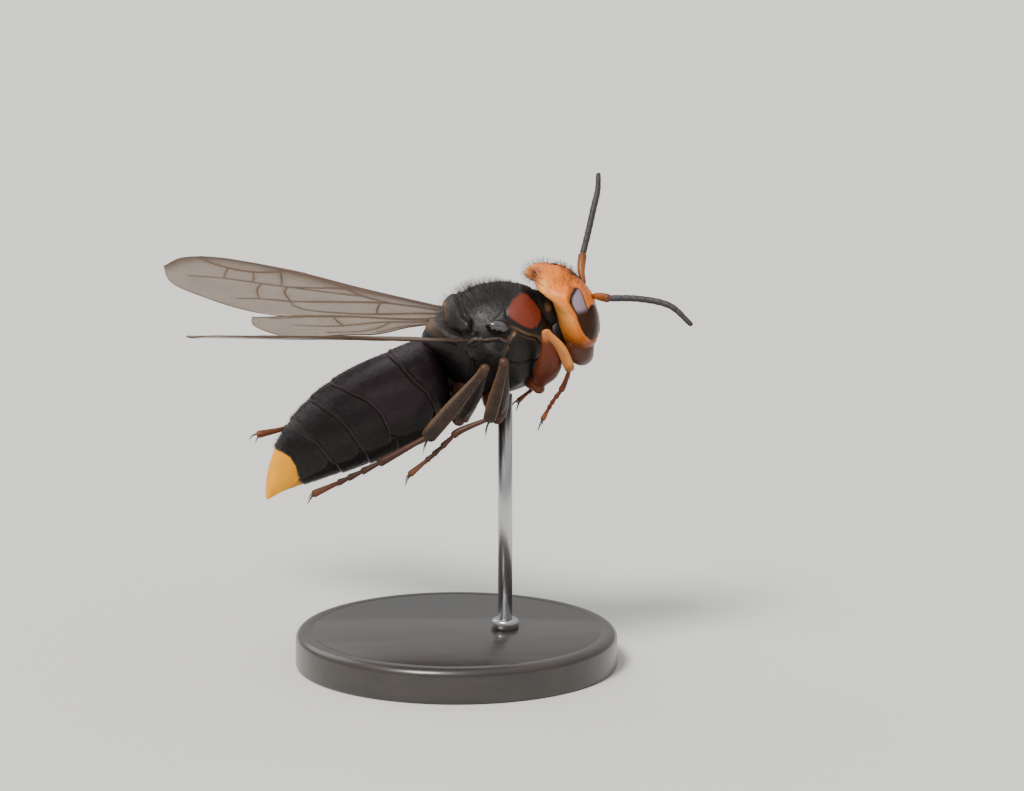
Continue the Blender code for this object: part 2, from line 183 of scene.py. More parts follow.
def cutAway(mesh, through, away):
    # take off what lies beyond a plane and close the cut
    geometry = mesh.verts[:] + mesh.edges[:] + mesh.faces[:]
    bmesh.ops.bisect_plane(mesh, geom=geometry, plane_co=through, plane_no=away, clear_outer=True)
    closeHoles(mesh)


def tube(mesh, sides, stations, closed=True):
    # an upright tube with so many rings, whose verts lie at z -1 to 1
    vertsBefore, edgesBefore = len(mesh.verts), len(mesh.edges)
    bmesh.ops.create_cone(mesh, cap_ends=closed, segments=sides, radius1=1, radius2=1, depth=2)
    mesh.edges.ensure_lookup_table()
    ups = [edge for edge in mesh.edges[edgesBefore:] if abs(edge.verts[0].co.z - edge.verts[1].co.z) > 1]
    bmesh.ops.subdivide_edges(mesh, edges=ups, cuts=stations - 2, use_grid_fill=True)
    mesh.verts.ensure_lookup_table()
    return mesh.verts[vertsBefore:]


def sweep(mesh, path, widths, depths=None, sides=12, across=(1, 0, 0), dome=(0.7, 0.7)):
    # a closed limb along a path, oval in section, with rounded ends
    path, widths = np.array(path, float), np.array(widths, float)
    depths = widths if depths is None else np.array(depths, float)
    tangents = np.gradient(path, axis=0)
    tangents /= np.linalg.norm(tangents, axis=1)[:, None]
    turns = np.radians((82, 60, 32))[:, None]
    before = path[0] - tangents[0] * np.sin(turns) * widths[0] * dome[0]
    after = path[-1] + tangents[-1] * np.sin(turns[::-1]) * widths[-1] * dome[1]
    shrink = np.cos(turns[:, 0])
    path = np.vstack((before, path, after))
    tangents = np.vstack((tangents[[0, 0, 0]], tangents, tangents[[-1, -1, -1]]))
    widths = np.concatenate((widths[0] * shrink, widths, widths[-1] * shrink[::-1]))
    depths = np.concatenate((depths[0] * shrink, depths, depths[-1] * shrink[::-1]))
    sideways = np.array(across, float) - tangents * (tangents @ np.array(across, float))[:, None]
    sideways /= np.linalg.norm(sideways, axis=1)[:, None]
    upward = np.cross(tangents, sideways)
    fresh = tube(mesh, sides, len(path))
    flat = np.array([vert.co for vert in fresh])
    station = np.rint((flat[:, 2] + 1) / 2 * (len(path) - 1)).astype(int)
    setVerts(fresh, path[station] + sideways[station] * (flat[:, 0] * widths[station])[:, None]
             + upward[station] * (flat[:, 1] * depths[station])[:, None])
    return mesh


def taper(count, start, end, belly=0.0, where=0.5):
    # widths from start to end, with a swelling on the way
    t = np.linspace(0, 1, count)
    return start + (end - start) * t + belly * hump(t, where, 0.28)


def node(tree, kind, **values):
    made = tree.nodes.new(kind)
    for key, value in values.items():
        setattr(made, key, value)
    return made


def link(tree, source, target):
    tree.links.new(source, target)


def tune(target, values):
    for key, value in values.items():
        target.inputs[key].default_value = value


def newFinish(name):
    made = bpy.data.materials.new(name)
    made.use_nodes = True
    return made, made.node_tree, made.node_tree.nodes["Principled BSDF"]


def mixColour(tree, factor, first, second):
    mixer = node(tree, "ShaderNodeMix", data_type="RGBA")
    link(tree, factor, mixer.inputs[0])
    for socket, colour in ((mixer.inputs[6], first), (mixer.inputs[7], second)):
        if isinstance(colour, bpy.types.NodeSocket):
            link(tree, colour, socket)
        else:
            socket.default_value = (*colour, 1.0)
    return mixer.outputs[2]


def markShare(tree, mark):
    return node(tree, "ShaderNodeAttribute", attribute_name=mark).outputs["Fac"]


def grain(tree, size, detail=3.0, spread=0.5):
    place = node(tree, "ShaderNodeTexCoord")
    speckle = node(tree, "ShaderNodeTexNoise")
    tune(speckle, {"Scale": 1 / (size * metresPerMm), "Detail": detail, "Roughness": spread})
    link(tree, place.outputs["Object"], speckle.inputs["Vector"])
    return speckle.outputs["Fac"]


def streaks(tree, stretch, settings):
    # noise drawn out along one axis
    place = node(tree, "ShaderNodeTexCoord")
    mapping = node(tree, "ShaderNodeMapping")
    speckle = node(tree, "ShaderNodeTexNoise")
    tune(mapping, {"Scale": stretch})
    tune(speckle, settings)
    link(tree, place.outputs["Object"], mapping.inputs["Vector"])
    link(tree, mapping.outputs["Vector"], speckle.inputs["Vector"])
    return speckle.outputs["Fac"]


def ranged(tree, source, low, high, start=0.0, end=1.0, **settings):
    ramp = node(tree, "ShaderNodeMapRange", **settings)
    tune(ramp, {"From Min": low, "From Max": high, "To Min": start, "To Max": end})
    link(tree, source, ramp.inputs["Value"])
    return ramp.outputs["Result"]


def addRelief(tree, shader, source, strength, depth):
    relief = node(tree, "ShaderNodeBump")
    tune(relief, {"Strength": strength, "Distance": depth * metresPerMm})
    link(tree, source, relief.inputs["Height"])
    link(tree, relief.outputs["Normal"], shader.inputs["Normal"])


# what a shell has unless its own look says otherwise
plainShell = {"pit": 0.09, "pitDepth": 0.03, "coat": 0.0, "coatRoughness": 0.2, "shine": 0.5}


def shellFinish(name, look, marks=()):
    # an insect shell: two close tones, painted marks over them, and a fine pitted grain
    look = {**plainShell, **look}
    made, tree, shader = newFinish(name)
    clouds = ranged(tree, grain(tree, look["cloud"]), 0.35, 0.65)
    colour = mixColour(tree, clouds, look["colour"], look["tone"])
    for mark, tint in marks:
        colour = mixColour(tree, markShare(tree, mark), colour, tint)
    link(tree, colour, shader.inputs["Base Color"])
    pits = grain(tree, look["pit"], 4.0, 0.6)
    link(tree, ranged(tree, pits, 0.3, 0.7, *look["roughness"]), shader.inputs["Roughness"])
    addRelief(tree, shader, pits, look["relief"], look["pitDepth"])
    tune(shader, {"Coat Weight": look["coat"], "Coat Roughness": look["coatRoughness"],
                  "Specular IOR Level": look["shine"]})
    return made


black = (0.004, 0.003, 0.004)
# on the head, pale paints a highlight on the cheek and the temple's rim, rust also paints shade in the hollow at the
# back, and dark also paints shade round the neck
headOrange = shellFinish(
    "head_orange",
    {"colour": (0.82, 0.20, 0.009), "tone": (0.74, 0.15, 0.006), "roughness": (0.34, 0.5), "cloud": 2.5,
     "pit": 0.13, "relief": 0.3, "shine": 0.4},
    (("pale_and_highlight", (0.96, 0.43, 0.11)), ("rust_and_shade", (0.15, 0.030, 0.002)), ("dark_and_shade", (0.014, 0.005, 0.003))))
thoraxBlack = shellFinish(
    "thorax_black",
    {"colour": (0.0045, 0.0034, 0.0033), "tone": (0.010, 0.0072, 0.0064), "roughness": (0.34, 0.5), "cloud": 0.9,
     "pit": 0.12, "relief": 0.45, "pitDepth": 0.05, "shine": 0.31},
    (("rust_and_shade", (0.15, 0.024, 0.010)), ("tan", (0.19, 0.10, 0.042)), ("dark_and_shade", black)))
# the plum tint is a painted sheen, the sky's soft highlight on the gaster's upper flanks
gasterBlack = shellFinish(
    "gaster_black",
    {"colour": (0.0045, 0.0032, 0.0032), "tone": (0.010, 0.0065, 0.0062), "roughness": (0.36, 0.5), "cloud": 1.6,
     "pit": 0.10, "relief": 0.35, "pitDepth": 0.04, "shine": 0.27},
    (("painted_plum_sheen", (0.026, 0.013, 0.019)), ("tan", (0.085, 0.036, 0.018)), ("dark_and_shade", black)))
tailYellow = shellFinish(
    "tail_yellow",
    {"colour": (0.90, 0.39, 0.003), "tone": (0.82, 0.31, 0.002), "roughness": (0.38, 0.55), "cloud": 1.4,
     "pit": 0.11, "relief": 0.3, "shine": 0.25},
    (("rust_and_shade", (0.30, 0.10, 0.012)), ("dark_and_shade", (0.06, 0.02, 0.006))))
legRust = shellFinish(
    "leg_rust",
    {"colour": (0.070, 0.012, 0.002), "tone": (0.105, 0.019, 0.003), "roughness": (0.34, 0.5), "cloud": 0.8,
     "pit": 0.10, "relief": 0.35, "shine": 0.3},
    (("pale_and_highlight", (0.60, 0.22, 0.05)), ("dark_and_shade", (0.02, 0.006, 0.004))))
legBrown = shellFinish(
    "leg_brown",
    {"colour": (0.012, 0.0075, 0.0055), "tone": (0.023, 0.0145, 0.0105), "roughness": (0.36, 0.54), "cloud": 0.6,
     "pit": 0.09, "relief": 0.4, "shine": 0.28},
    (("pale_and_highlight", (0.21, 0.105, 0.042)), ("rust_and_shade", (0.17, 0.050, 0.020)), ("dark_and_shade", (0.008, 0.005, 0.005))))
feelerGrey = shellFinish(
    "feeler_grey",
    {"colour": (0.020, 0.017, 0.019), "tone": (0.034, 0.028, 0.030), "roughness": (0.5, 0.65), "cloud": 0.5,
     "pit": 0.06, "relief": 0.4},
    (("rust_and_shade", (0.22, 0.055, 0.018)), ("dark_and_shade", (0.008, 0.005, 0.005))))
# the eye's lilac tint is a painted reflection of the sky on its upper lobe
eyeBrown = shellFinish(
    "eye_brown",
    {"colour": (0.024, 0.007, 0.002), "tone": (0.038, 0.011, 0.003), "roughness": (0.30, 0.40), "cloud": 1.5,
     "pit": 0.05, "relief": 0.12, "pitDepth": 0.012, "shine": 0.14},
    (("pale_and_highlight", (0.25, 0.19, 0.23)), ("dark_and_shade", (0.006, 0.003, 0.002))))
tegulaBlack = shellFinish(
    "tegula_black",
    {"colour": (0.040, 0.036, 0.040), "tone": (0.055, 0.048, 0.052), "roughness": (0.16, 0.24), "cloud": 0.5,
     "pit": 0.1, "relief": 0.1, "coat": 0.8, "coatRoughness": 0.12},
    (("tan", (0.15, 0.075, 0.03)), ("dark_and_shade", black)))
rootBrown = shellFinish(
    "wing_root_brown",
    {"colour": (0.013, 0.0075, 0.005), "tone": (0.050, 0.028, 0.015), "roughness": (0.4, 0.6), "cloud": 0.45,
     "pit": 0.12, "relief": 0.6, "pitDepth": 0.06},
    (("tan", (0.20, 0.11, 0.05)), ("dark_and_shade", black)))
clawBlack = shellFinish(
    "claw_black",
    {"colour": (0.012, 0.006, 0.004), "tone": (0.035, 0.014, 0.008), "roughness": (0.2, 0.3), "cloud": 0.4,
     "pit": 0.05, "relief": 0.1, "coat": 0.3})
hairDark = shellFinish(
    "hair_dark",
    {"colour": (0.012, 0.008, 0.006), "tone": (0.024, 0.016, 0.012), "roughness": (0.6, 0.7), "cloud": 0.5,
     "relief": 0.0, "shine": 0.1})
hairGold = shellFinish(
    "hair_gold",
    {"colour": (0.30, 0.15, 0.05), "tone": (0.20, 0.09, 0.03), "roughness": (0.4, 0.5), "cloud": 0.4,
     "relief": 0.0})
print("finishes ready")


headSize = {
    "halfWidth": 4.57, "halfHeight": 3.83, "face": 2.58, "vertex": 2.62, "nape": 1.35, "chin": 0.5,
    "hollow": 0.45, "hollowWidth": 1.4, "neckHollow": 0.35, "temple": 0.15, "farTemple": 0.3, "dip": 0.46,
    # how full it is from in front, and from the side below and above its middle
    "fullness": 2.7, "faceFullness": (3.5, 3.0),
    # a taper is a share and a power
    "cheekTaper": (0.22, 1.6), "browTaper": (0.64, 1.8), "backTaper": 2.2, "backTaperFrom": 0.6,
    "acrossPower": 0.85, "forthPower": 0.9, "crownDrop": 0.10,
    "degree": 0.058,                    # mm along the eye's outline for each degree
}


def squared(values, power):
    return np.sign(values) * np.abs(values) ** power


def headSurface(unit):
    # where each point of a ball lies on the head, and how much it belongs to the head's back
    u = np.clip(unit[:, 2], -1, 1)
    low, high = np.minimum(u, 0), np.maximum(u, 0)
    width = headSize["halfWidth"] * bulge(u, headSize["fullness"])
    face = headSize["face"] * bulge(u, np.where(u < 0, *headSize["faceFullness"]))
    share, power = headSize["cheekTaper"]
    width = width * (1 - share * np.abs(low) ** power)
    share, power = headSize["browTaper"]
    face = face * (1 - share * high ** power)
    flank = ease(0.3, 0.8, np.abs(unit[:, 0]) / np.sqrt(np.maximum(1 - u * u, 1e-6)))
    back = headSize["nape"] + (headSize["chin"] - headSize["nape"]) * np.maximum(0.3 - u, 0) / 1.3
    back = back + (headSize["vertex"] - headSize["nape"]) * ease(0.5 - 0.35 * flank, 0.8, u)
    back = back * (1 - headSize["backTaper"] * np.maximum(u - headSize["backTaperFrom"], 0) ** 2)
    around = np.arctan2(unit[:, 1], unit[:, 0])
    across = squared(np.cos(around), headSize["acrossPower"])
    forth = squared(-np.sin(around), headSize["forthPower"])
    forward = (face - back) / 2 + (face + back) / 2 * forth
    left = width * across
    up = headSize["halfHeight"] * u
    behind = ease(0.1, 0.8, -forth)
    cleft = hump(left, 0, headSize["hollowWidth"]) * behind
    forward = forward + headSize["hollow"] * cleft * ease(-1.0, 1.6, up) * (1 - ease(3.0, 3.9, up))
    forward = forward + headSize["neckHollow"] * hump(left, 0, 2.0) * hump(up, 0.2, 1.3) * behind
    forward = forward + headSize["temple"] * hump(np.abs(left), 2.7, 1.1) * hump(up, 1.9, 0.9) * behind
    crown = ease(2.3, 3.4, up)
    up = up - crown * (headSize["crownDrop"]
                       + headSize["dip"] * hump(forward, 0.45, 1.0) * hump(np.abs(left), 2.0, 1.5))
    forward = forward - headSize["farTemple"] * hump(left, 2.4, 1.3) * hump(up, 1.9, 0.9) * behind
    return np.stack((left, -forward, up), axis=1), behind


# round the side of the head: degrees from its side towards the face, and height in mm
eyeOutline = (
    (28, 2.64), (38, 2.66), (44, 2.50), (43, 2.32), (39, 2.10), (33, 1.82), (27, 1.50), (22.5, 1.22), (21, 1.03),
    (24, 0.93), (30, 0.95), (38, 0.98), (48, 0.82), (57, 0.42), (63, -0.15), (62, -0.75), (54, -1.3), (40, -1.64),
    (26, -1.90), (12, -2.02), (3, -1.62), (-4, -1.15), (-8.5, -0.6), (-11.5, 0.05), (-11.5, 0.45), (-10, 0.85),
    (-8.5, 1.25), (-6, 1.6), (-3, 1.91), (3, 2.22), (14, 2.50),
)
eyeLook = {
    "sunk": 0.32, "rim": 0.03, "dome": 0.09,
    # the stretch of the head's ball that carries an eye: from the middle, back, bottom and top
    "inner": 0.12, "back": 0.35, "bottom": -0.62, "top": 0.9,
}
headRelief = {
    "shieldGroove": 0.10, "eyeStep": 0.30, "eyeGroove": 0.07, "eyeRidge": 0.05, "socketRim": 0.12, "socket": 0.28,
    "faceRidge": 0.12, "faceFurrow": 0.06, "ocellusRim": 0.05, "ocellusPit": 0.08, "jawHinge": 0.10,
    "grain": 0.012, "grainSize": 0.35,
}
clypeus = {
    "outline": ((0, 0.35), (0.75, 0.35), (1.05, -0.1), (1.75, -0.55), (2.1, -1.4), (1.95, -2.2), (1.35, -3.0),
                (0.95, -3.45), (0.5, -3.35), (0, -3.2)),
    "lift": 0.16,
}
socketPlace = (1.1, 0.7)            # left, up
ocelli = ((0.0, 2.25), (0.44, 2.66), (-0.44, 2.66))
ocellusLook = {"radius": 0.17, "sunk": 0.02}


def mirroredOutline(half):
    return [*half, *[(-x, y) for x, y in reversed(half) if x]]


def eyeDepth(unit, up):
    # how far inside the nearer eye's outline each point lies
    turn = np.degrees(np.arctan2(-unit[:, 1], np.abs(unit[:, 0])))
    scale = np.array((headSize["degree"], 1.0))
    outline = smoothLine([*eyeOutline, eyeOutline[0]], 90)[:-1] * scale
    return insideDepth(np.stack((turn, up), axis=1) * scale, outline), turn


def buildHead():
    mesh = fineBall(7)
    unit = verts(mesh)
    places, behind = headSurface(unit)
    setVerts(mesh, places)
    outwards(mesh)
    outward = normalsOf(mesh)
    left, forward, up = places[:, 0], -places[:, 1], places[:, 2]
    front = ease(0.3, 1.2, forward) * (1 - behind)
    depth, turn = eyeDepth(unit, up)
    flat = np.stack((left, up), axis=1)
    shield = insideDepth(flat, mirroredOutline(clypeus["outline"]))
    rise = front * (clypeus["lift"] * ease(-0.02, 0.2, shield)
                    - headRelief["shieldGroove"] * hump(shield, -0.05, 0.08))
    rise -= headRelief["eyeStep"] * ease(0.02, 0.12, depth) + headRelief["eyeGroove"] * hump(depth, -0.05, 0.07)
    rise += headRelief["eyeRidge"] * hump(depth, -0.28, 0.16)
    for sign in (1, -1):
        toSocket = np.hypot(left - sign * socketPlace[0], up - socketPlace[1])
        rise += front * (headRelief["socketRim"] * hump(toSocket, 0.5, 0.12)
                         - headRelief["socket"] * (1 - ease(0.25, 0.45, toSocket)))
    rise += front * headRelief["faceRidge"] * hump(left, 0, 0.55) * hump(up, 0.95, 0.6)
    rise -= front * headRelief["faceFurrow"] * hump(left, 0, 0.08) * ease(1.0, 1.4, up) * (1 - ease(1.9, 2.1, up))
    toOcelli = np.min([np.hypot(left - x, up - z) for x, z in ocelli], axis=0)
    rise += front * (headRelief["ocellusRim"] * hump(toOcelli, 0.26, 0.1)
                     - headRelief["ocellusPit"] * hump(toOcelli, 0, 0.16))
    # the cheek's lower end, where the jaw hinges
    rise -= headRelief["jawHinge"] * hump(up, -2.55, 0.10) * ease(15, 30, turn) * (1 - ease(60, 75, turn))
    rise += headRelief["grain"] * roughness3d(places, headRelief["grainSize"], 3.0)
    places = places + outward * rise[:, None]
    setVerts(mesh, places)
    # painted highlight: the cheek's strip behind the eye and the backlit rim of the temple are painted paler
    rim = ease(-10, -45, turn) * ease(0.8, 2.0, up) * ease(1.2, 2.4, np.abs(left))
    pale_and_highlight = np.maximum(0.75 * ease(-8, -32, turn) * hump(up, 1.0, 2.2) * (1 - ease(-60, -80, turn)), 0.8 * rim)
    # darker brown towards the chin and on the brow
    rust_and_shade = 0.95 * ease(-0.9, -2.8, up)
    rust_and_shade = np.maximum(rust_and_shade, 0.55 * front * ease(1.4, 2.6, up) * hump(left, 0, 1.9))
    # painted shade in the hollow at the back of the crown
    rust_and_shade = np.maximum(rust_and_shade, 0.85 * behind * hump(left, 0, 1.1) * ease(1.0, 2.0, up))
    rust_and_shade = np.maximum(rust_and_shade, 0.5 * hump(shield, -0.06, 0.10) * front)
    rust_and_shade = np.maximum(rust_and_shade, 0.5 * hump(depth, -0.08, 0.12))
    dark_and_shade = ease(0.0, 0.6, forward) * (0.95 * hump(toOcelli, 0.2, 0.10) + 0.4 * (1 - ease(0.3, 0.6, toOcelli)))
    # painted shade on the back of the head, in the hollow round the neck
    dark_and_shade = dark_and_shade + behind * hump(left, 0, 1.7) * hump(up, 0.2, 1.5)
    dark_and_shade = np.maximum(dark_and_shade, 0.8 * hump(depth, 0.02, 0.07))
    finish("head_capsule", mesh, headFrame, headOrange, ["head"],
           {"pale_and_highlight": pale_and_highlight, "rust_and_shade": rust_and_shade, "dark_and_shade": dark_and_shade})
    return places, outward, depth


def buildEye(side, sign):
    mesh = fineBall(7)
    for through, away in (((sign * eyeLook["inner"], 0, 0), (-sign, 0, 0)), ((0, eyeLook["back"], 0), (0, 1, 0)),
                          ((0, 0, eyeLook["bottom"]), (0, 0, -1)), ((0, 0, eyeLook["top"]), (0, 0, 1))):
        cutAway(mesh, through, away)
    unit = verts(mesh)
    places = headSurface(unit)[0]
    setVerts(mesh, places)
    outwards(mesh)
    outward = normalsOf(mesh)
    depth, turn = eyeDepth(unit, places[:, 2])
    rise = -eyeLook["sunk"] + (eyeLook["sunk"] + eyeLook["rim"]) * ease(-0.12, 0.10, depth)
    rise += eyeLook["dome"] * np.sqrt(ease(0.0, 1.3, depth))
    setVerts(mesh, places + outward * rise[:, None])
    up = places[:, 2]
    # painted reflection of the sky: the upper lobe is painted lilac
    painted_sky_reflection = ease(0.75, 1.35, up) * ease(-18, -2, turn) * ease(0.06, 0.28, depth)
    finish("compound_eye_" + side, mesh, headFrame, eyeBrown, ["eye_" + side],
           {"pale_and_highlight": painted_sky_reflection, "dark_and_shade": ease(0.22, 0.06, depth)})


def onFace(skin, left, up):
    # the foremost point of the head at a place on its face
    places, outward = skin[:2]
    away = np.hypot(places[:, 0] - left, places[:, 2] - up) + 10 * (places[:, 1] > 0.6)
    nearest = int(np.argmin(away))
    return places[nearest], outward[nearest]


def buildOcelli(skin):
    mesh = bmesh.new()
    for left, up in ocelli:
        place, outward = onFace(skin, left, up)
        bmesh.ops.create_uvsphere(mesh, u_segments=20, v_segments=12, radius=ocellusLook["radius"],
                                  matrix=Matrix.Translation(place + outward * -ocellusLook["sunk"]))
    finish("ocelli", mesh, headFrame, eyeBrown)


def headLine(knots, sign, count):
    # a line through (forward, left, up) places on the head, mirrored for its right side
    return smoothLine([(left * sign, -forward, up) for forward, left, up in knots], count)


mandible = {
    "path": ((0.35, 2.3, -2.7), (0.65, 2.15, -3.45), (1.05, 1.5, -4.2), (1.45, 0.75, -4.62), (1.6, 0.1, -4.72)),
    "stations": 26, "width": 1.3, "tipWidth": 0.45, "thickness": 0.66,
    "teeth": (0.66, 0.8, 0.94), "toothRadius": 0.17, "toothReach": (-0.10, -0.10, -0.14),
}


def buildMandible(side, sign):
    count = mandible["stations"]
    path = headLine(mandible["path"], sign, count)
    t = np.linspace(0, 1, count)
    widths = mandible["width"] + (mandible["tipWidth"] - mandible["width"]) * ease(0.1, 1, t)
    mesh = bmesh.new()
    sweep(mesh, path, widths, widths * mandible["thickness"], 28, across=(0, -0.6, 1))
    left, back, up = mandible["toothReach"]
    for share in mandible["teeth"]:
        root = Vector(path[int(share * (count - 1))])
        bmesh.ops.create_uvsphere(mesh, u_segments=12, v_segments=8, radius=mandible["toothRadius"],
                                  matrix=Matrix.Translation(root + Vector((left * sign, back, up))))
    tip = 1 - ease(0.4, 1.6, np.abs(verts(mesh)[:, 0]))
    finish("mandible_blade_" + side, mesh, headFrame, headOrange, ["mandible_" + side],
           {"pale_and_highlight": 0, "rust_and_shade": 1, "dark_and_shade": np.maximum(tip * 0.9, 0.6)})


mouth = {
    "palps": (((0.7, 1.0, -3.3), (1.0, 0.9, -3.9), (0.9, 0.8, -4.3), 0.13),
              ((0.5, 0.5, -3.4), (0.8, 0.45, -3.9), (0.7, 0.4, -4.25), 0.10)),
    "bead": 0.16, "tongue": ((0, -1.0, -3.0), (0, -1.25, -3.6), (0, -1.1, -4.1)),
    "tongueWidths": (1.9, 1.25), "tongueDepths": (0.7, 0.45),
}


def buildMouth():
    # palps and tongue under the jaws
    mesh = bmesh.new()
    for sign in (1, -1):
        for *bends, size in mouth["palps"]:
            beads = size * (1 + mouth["bead"] * np.cos(np.linspace(0, 6 * math.pi, 26)))
            sweep(mesh, headLine(bends, sign, 26), beads)
    sweep(mesh, smoothLine(mouth["tongue"], 12), taper(12, *mouth["tongueWidths"]),
          taper(12, *mouth["tongueDepths"]), 28)
    finish("mouthparts", mesh, headFrame, headOrange, (), {"pale_and_highlight": 0, "rust_and_shade": 1, "dark_and_shade": 0.7})


antennae = {
    "scapeRoot": (2.45, 1.1, 0.7),
    "left": ((3.1, -7.85, 6.2), (4.6, -8.5, 8.0), (5.9, -9.05, 9.65), (7.0, -9.5, 10.95), (8.0, -9.65, 12.05)),
    "right": ((-3.8, -9.3, 4.05), (-5.0, -11.85, 4.2), (-6.0, -14.25, 3.8), (-6.8, -15.9, 2.4)),
    "scapeGirth": 0.22, "scapeSwell": 0.14, "scapeNeck": 0.09, "pedicel": (0.16, 0.23), "pedicelEnd": 14,
    "stations": 400, "segments": 10, "girth": 0.28, "firstSegment": 1.5, "lastSegment": 1.25,
}


def buildAntenna(side, sign):
    forward, left, up = antennae["scapeRoot"]
    root = bodyFrame.inverted() @ headFrame @ Vector((left * sign, -forward, up))
    elbow = Vector(antennae[side][0])
    middle = (root + elbow) / 2 + Vector((0, 0.2, 0.1))
    path = smoothLine((root, middle, elbow), 30)
    t = np.linspace(0, 1, 30)
    widths = antennae["scapeGirth"] + antennae["scapeSwell"] * ease(0.1, 0.8, t)
    widths = widths - antennae["scapeNeck"] * hump(t, 0.09, 0.04)
    mesh = bmesh.new()
    sweep(mesh, path, widths, None, 20)
    toEnd = np.linalg.norm(verts(mesh) - np.array(elbow), axis=1)
    finish(f"antenna_scape_{side}", mesh, bodyFrame, legRust, [f"antenna_{side}_scape"],
           {"pale_and_highlight": 0.35 * hump(toEnd, 1.4, 1.2), "dark_and_shade": (1 - ease(0.1, 0.45, toEnd)) * 0.6})
    lash = smoothLine(antennae[side], antennae["stations"])
    pedicel, segments = antennae["pedicelEnd"], antennae["segments"]
    mesh = bmesh.new()
    sweep(mesh, lash[:pedicel:2], taper(7, *antennae["pedicel"]), None, 16)
    shares = np.concatenate(([0.0], np.cumsum(
        [antennae["firstSegment"]] + [1.0] * (segments - 2) + [antennae["lastSegment"]])))
    stops = pedicel + shares / shares[-1] * (len(lash) - 1 - pedicel)
    for number, (start, end) in enumerate(zip(stops, stops[1:])):
        stations = lash[np.linspace(start, end, 9).astype(int)]
        slim = 1 - 0.22 * ease(0.55, 1.0, number / segments)
        t = np.linspace(0, 1, 9)
        widths = antennae["girth"] * slim * (0.90 + 0.10 * np.sin(math.pi * np.clip(t * 0.85 + 0.12, 0, 1)))
        sweep(mesh, stations, widths, None, 18, dome=(0.2, 1.0 if number == segments - 1 else 0.2))
    toEnd = np.linalg.norm(verts(mesh) - np.array(elbow), axis=1)
    finish(f"antenna_lash_{side}", mesh, bodyFrame, feelerGrey,
           [f"antenna_{side}_flagellum"], {"rust_and_shade": (1 - ease(0.1, 0.45, toEnd)) * 0.8, "dark_and_shade": 0})


headSkin = buildHead()
buildOcelli(headSkin)
buildMouth()
for side, sign in (("left", 1), ("right", -1)):
    buildEye(side, sign)
    buildMandible(side, sign)
    buildAntenna(side, sign)
print("head built")


thoraxSize = {
    "middle": -0.1, "halfLength": 5.1, "halfWidth": 4.6, "top": 4.65, "bottom": 4.75,
    "frontFullness": 2.35, "rearFullness": 1.95,
}
# side-view outlines are (y, z) in body places; the surface gives the rest
redPatch = ((-0.95, 3.2), (-1.5, 3.85), (-2.2, 4.2), (-2.75, 4.05), (-3.35, 3.45), (-3.85, 2.75), (-3.85, 2.15),
            (-3.45, 1.65), (-2.9, 1.5), (-2.1, 1.85), (-1.35, 2.35), (-0.95, 2.75))
pronotumEdge = ((0.25, 2.35), (-0.25, 2.85), (-0.8, 3.45), (-1.5, 4.15), (-2.3, 4.5), (-3.0, 4.35), (-3.7, 3.9),
                (-4.1, 3.6), (-6.5, 3.6), (-6.5, -1.8), (-4.5, -1.4), (-4.1, -0.1), (-3.55, 0.8), (-2.5, 1.2),
                (-1.5, 1.75), (-0.6, 2.05))
scutellumEdge = ((1.75, 2.15), (2.45, 2.6), (2.7, 3.4), (2.75, 4.4), (4.2, 4.4), (4.15, 2.6), (4.1, 1.9),
                 (3.6, 1.25), (2.6, 0.9), (1.9, 1.35))
metanotumEdge = ((2.6, 0.75), (3.75, 1.1), (4.3, 1.75), (4.35, 3.2), (5.2, 3.2), (5.0, 1.2), (4.3, 0.35),
                 (3.1, 0.1))
flankGrooves = (
    ((-4.2, 0.15), (-3.3, 0.75), (-2.4, 1.1), (-1.6, 1.45), (-1.1, 0.9), (-0.75, 0.1), (-0.6, -1.1), (-0.9, -2.4),
     (-1.3, -3.8), (-1.3, -4.6)),
    ((-0.6, -1.1), (-1.7, -1.25), (-2.9, -1.1), (-3.9, -0.9)),
    ((1.6, 1.3), (1.9, 0.2), (1.7, -1.4), (1.3, -3.2), (1.0, -4.4)),
)
frontPlate = ((-4.0, -0.9), (-4.0, 0.1), (-2.4, 1.0), (-1.5, 1.3), (-0.9, 0.1), (-0.75, -1.1), (-1.1, -2.6),
              (-1.5, -4.2), (-2.6, -3.8), (-3.6, -2.4))
tanSeam = ((-4.3, 0.28), (-3.4, 0.72), (-2.5, 1.12), (-1.7, 1.5), (-1.25, 1.15), (-0.95, 0.7), (-0.85, 0.2))
thoraxRelief = {
    # how deep the middle shell lies under the collar and under the scutellum, and its own furrows
    "inset": 0.05, "underCollar": 0.25, "underScutellum": 0.22, "furrow": 0.05, "sideFurrow": 0.06,
    "groove": 0.15, "frontPlate": 0.14, "wingPit": 0.35, "wingPitPlace": (2.35, 2.2), "grain": 0.012,
    "collar": 0.10, "patch": 0.10, "patchGroove": 0.07, "collarFront": 0.12, "collarGrain": 0.008,
    "scutellum": 0.34, "metanotum": 0.16, "notch": 0.10, "rearFurrow": 0.12, "rearSlope": 0.95, "rearGrain": 0.015,
    "grainSize": 0.3, "segments": 288, "rings": 200,
}


def thoraxSurface(unit):
    # the ball's poles lie along the body
    t = unit[:, 2]
    girth = np.where(t < 0, bulge(t, thoraxSize["frontFullness"]), bulge(t, thoraxSize["rearFullness"]))
    around = np.arctan2(unit[:, 1], unit[:, 0])
    height = np.where(unit[:, 1] > 0, thoraxSize["top"], thoraxSize["bottom"])
    places = np.stack((
        thoraxSize["halfWidth"] * girth * np.cos(around),
        thoraxSize["middle"] + thoraxSize["halfLength"] * t,
        height * girth * np.sin(around)), axis=1)
    return moved(places, thoraxTurn)


